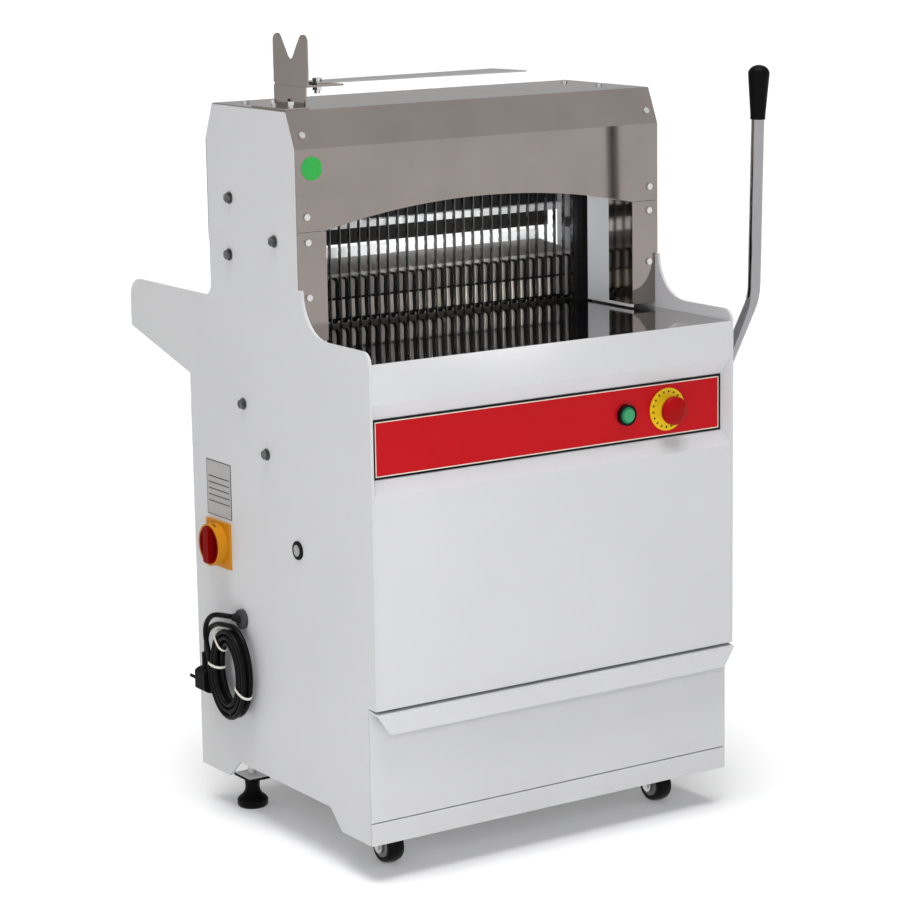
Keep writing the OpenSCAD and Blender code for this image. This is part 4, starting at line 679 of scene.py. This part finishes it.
hood_low, hood_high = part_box("front_hood")
spot_r, spot_t, spot_x, spot_z = 0.016, 0.0004, hood_low.x + 0.025, hood_high.z - 0.076
around = np.linspace(0, 2 * np.pi, 48, endpoint=False)
disc_rings = [np.stack([
    spot_x + spot_r * np.cos(around), 0 * around + hood_low.y - lift, spot_z + spot_r * np.sin(around)], 1)
    for lift in (0.0, spot_t)]
green_foil = Finish("green_foil", (0.03, 0.36, 0.06), 0.4, specular=0.25)
green_foil.vary((0.025, 0.34, 0.055), (0.035, 0.39, 0.07), green_foil.noise(80.0, 2.0))
grid_piece("green_disc", [np.stack(disc_rings)], green_foil, "body", smooth=False)


# Fasteners: plated screws, bolts and washers, all of one plating. Those on the hood, strips and cover are
# bright, and those on the outsides of the side panels are painted darker as painted shade.
screw_plate = Finish("screw_plate", (0.20, 0.20, 0.205), 0.25, metal=1.0)
plating_noise = screw_plate.noise(160.0, 3.0)
# painted shade: the bolts on the panels' outsides get a much darker plating tone than the rest
panel_painted_shade = screw_plate.mix((0.10, 0.10, 0.105), (0.24, 0.24, 0.235), plating_noise.ramp(0.3, 0.7))
right_x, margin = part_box("right_side_panel")[1].x, 0.0005
between = (screw_plate.axis(0) > left_x + margin) * (screw_plate.axis(0) < right_x - margin)
screw_plate.vary(panel_painted_shade, (0.70, 0.70, 0.69), between)
screw_plate.set("Roughness", plating_noise * 0.2 + 0.12)
dress(screw_plate, "fasteners")


# Studio: a pale floor that keeps the shadow, a high soft key light, a low fill and a narrow window light
# from the left of the camera, a pale sky, and the camera of the photograph.
glow_level, glow_share = 1.25, 0.10
floor_paint = Finish("floor_paint", (0.91, 0.91, 0.91), 0.9, specular=0.0)
floor_paint.vary((0.905, 0.905, 0.905), (0.915, 0.915, 0.915), floor_paint.noise(3.0))
to_camera, to_gloss, to_glass = (floor_paint.node("ShaderNodeLightPath", {}, {}, out=name)
                                 for name in ("Is Camera Ray", "Is Glossy Ray", "Is Transmission Ray"))
behind = floor_paint.axis(1).ramp(-0.5, 1.5)
sheen = floor_paint.mix((0.80, 0.80, 0.80), (0.56, 0.56, 0.56), behind)
shown = floor_paint.mix((1.0, 1.0, 1.0), sheen, to_gloss)
glow = floor_paint.node("ShaderNodeEmission", {}, {"Color": shown, "Strength": glow_level})
bare = Socket(floor_paint, floor_paint.shader.outputs[0])
share = to_camera.most(to_glass) * glow_share
blend = {0: share.most(to_gloss), 1: bare, 2: glow}
floor_paint.finish_with(floor_paint.node("ShaderNodeMixShader", {}, blend))
reach = 60.0
floor_corners = [(-reach, -reach, 0), (reach, -reach, 0), (reach, reach, 0), (-reach, reach, 0)]
floor_mesh = bpy.data.meshes.new("floor")
floor_mesh.from_pydata(floor_corners, [], [(0, 1, 2, 3)])
floor_mesh.materials.append(floor_paint.material)
floor = bpy.data.objects.new("floor", floor_mesh)
bpy.context.scene.collection.objects.link(floor)


def light(name, kind, energy, settings, place, toward):
    """Adds a lamp at a place, turned so that it shines along a direction."""
    data = bpy.data.lights.new(name, kind)
    data.energy = energy
    for key, value in settings.items():
        setattr(data, key, value)
    lamp = bpy.data.objects.new(name, data)
    lamp.location = place
    lamp.rotation_euler = mathutils.Vector(toward).to_track_quat("-Z", "Y").to_euler()
    lamp.visible_glossy = kind == "SUN"
    bpy.context.scene.collection.objects.link(lamp)


light("key", "SUN", 2.75, {"angle": math.radians(38)}, (0, 0, 3), (0.12, 0.10, -0.985))
light("window", "AREA", 0.42, {"size": 0.12, "spread": math.radians(20)},
      (-0.55, -1.25, 1.00), (0.58, 1.25, -0.15))
light("fill", "AREA", 15.0, {"size": 0.9, "color": (0.96, 0.97, 1.06)},
      (-1.2, -1.9, 1.0), (1.1, 1.7, -0.3))

world = bpy.data.worlds.new("studio")
bpy.context.scene.world = world
world.use_nodes = True
sky = Nodes(world.node_tree)
way = sky.node("ShaderNodeTexCoord", {}, {}, out=0)
aside, back, lift = (sky.node("ShaderNodeSeparateXYZ", {}, {0: way}, out=index) for index in (0, 1, 2))
gloss_front = sky.mix((1.0, 1.0, 1.0), (0.80, 0.80, 0.80), lift.ramp(0.0, 0.5))
gloss_back = sky.mix(gloss_front, (0.44, 0.44, 0.44), back.ramp(-0.2, 0.5))
gloss = sky.mix(gloss_back, (0.08, 0.08, 0.08), aside.ramp(0.62, 0.92))
for_camera = sky.node("ShaderNodeLightPath", {}, {}, out="Is Camera Ray")
for_gloss = sky.node("ShaderNodeLightPath", {}, {}, out="Is Glossy Ray")
level = sky.mix(sky.mix((0.31, 0.31, 0.31), gloss, for_gloss), (1.0, 1.0, 1.0), for_camera)
sky.finish_with(sky.node("ShaderNodeBackground", {}, {"Color": level, "Strength": 1.0}))

camera_data = bpy.data.cameras.new("camera")
camera_data.sensor_fit = "HORIZONTAL"
camera_data.sensor_width = 36.0
camera_data.lens = 116.717
camera_data.clip_end = 200.0
camera = bpy.data.objects.new("camera", camera_data)
camera.location = (-2.26171, -3.48444, 1.33718)
camera.rotation_euler = (1.373853, 0.015861, -0.582598)
bpy.context.scene.collection.objects.link(camera)
bpy.context.scene.camera = camera
bpy.context.scene.view_settings.view_transform = "Standard"
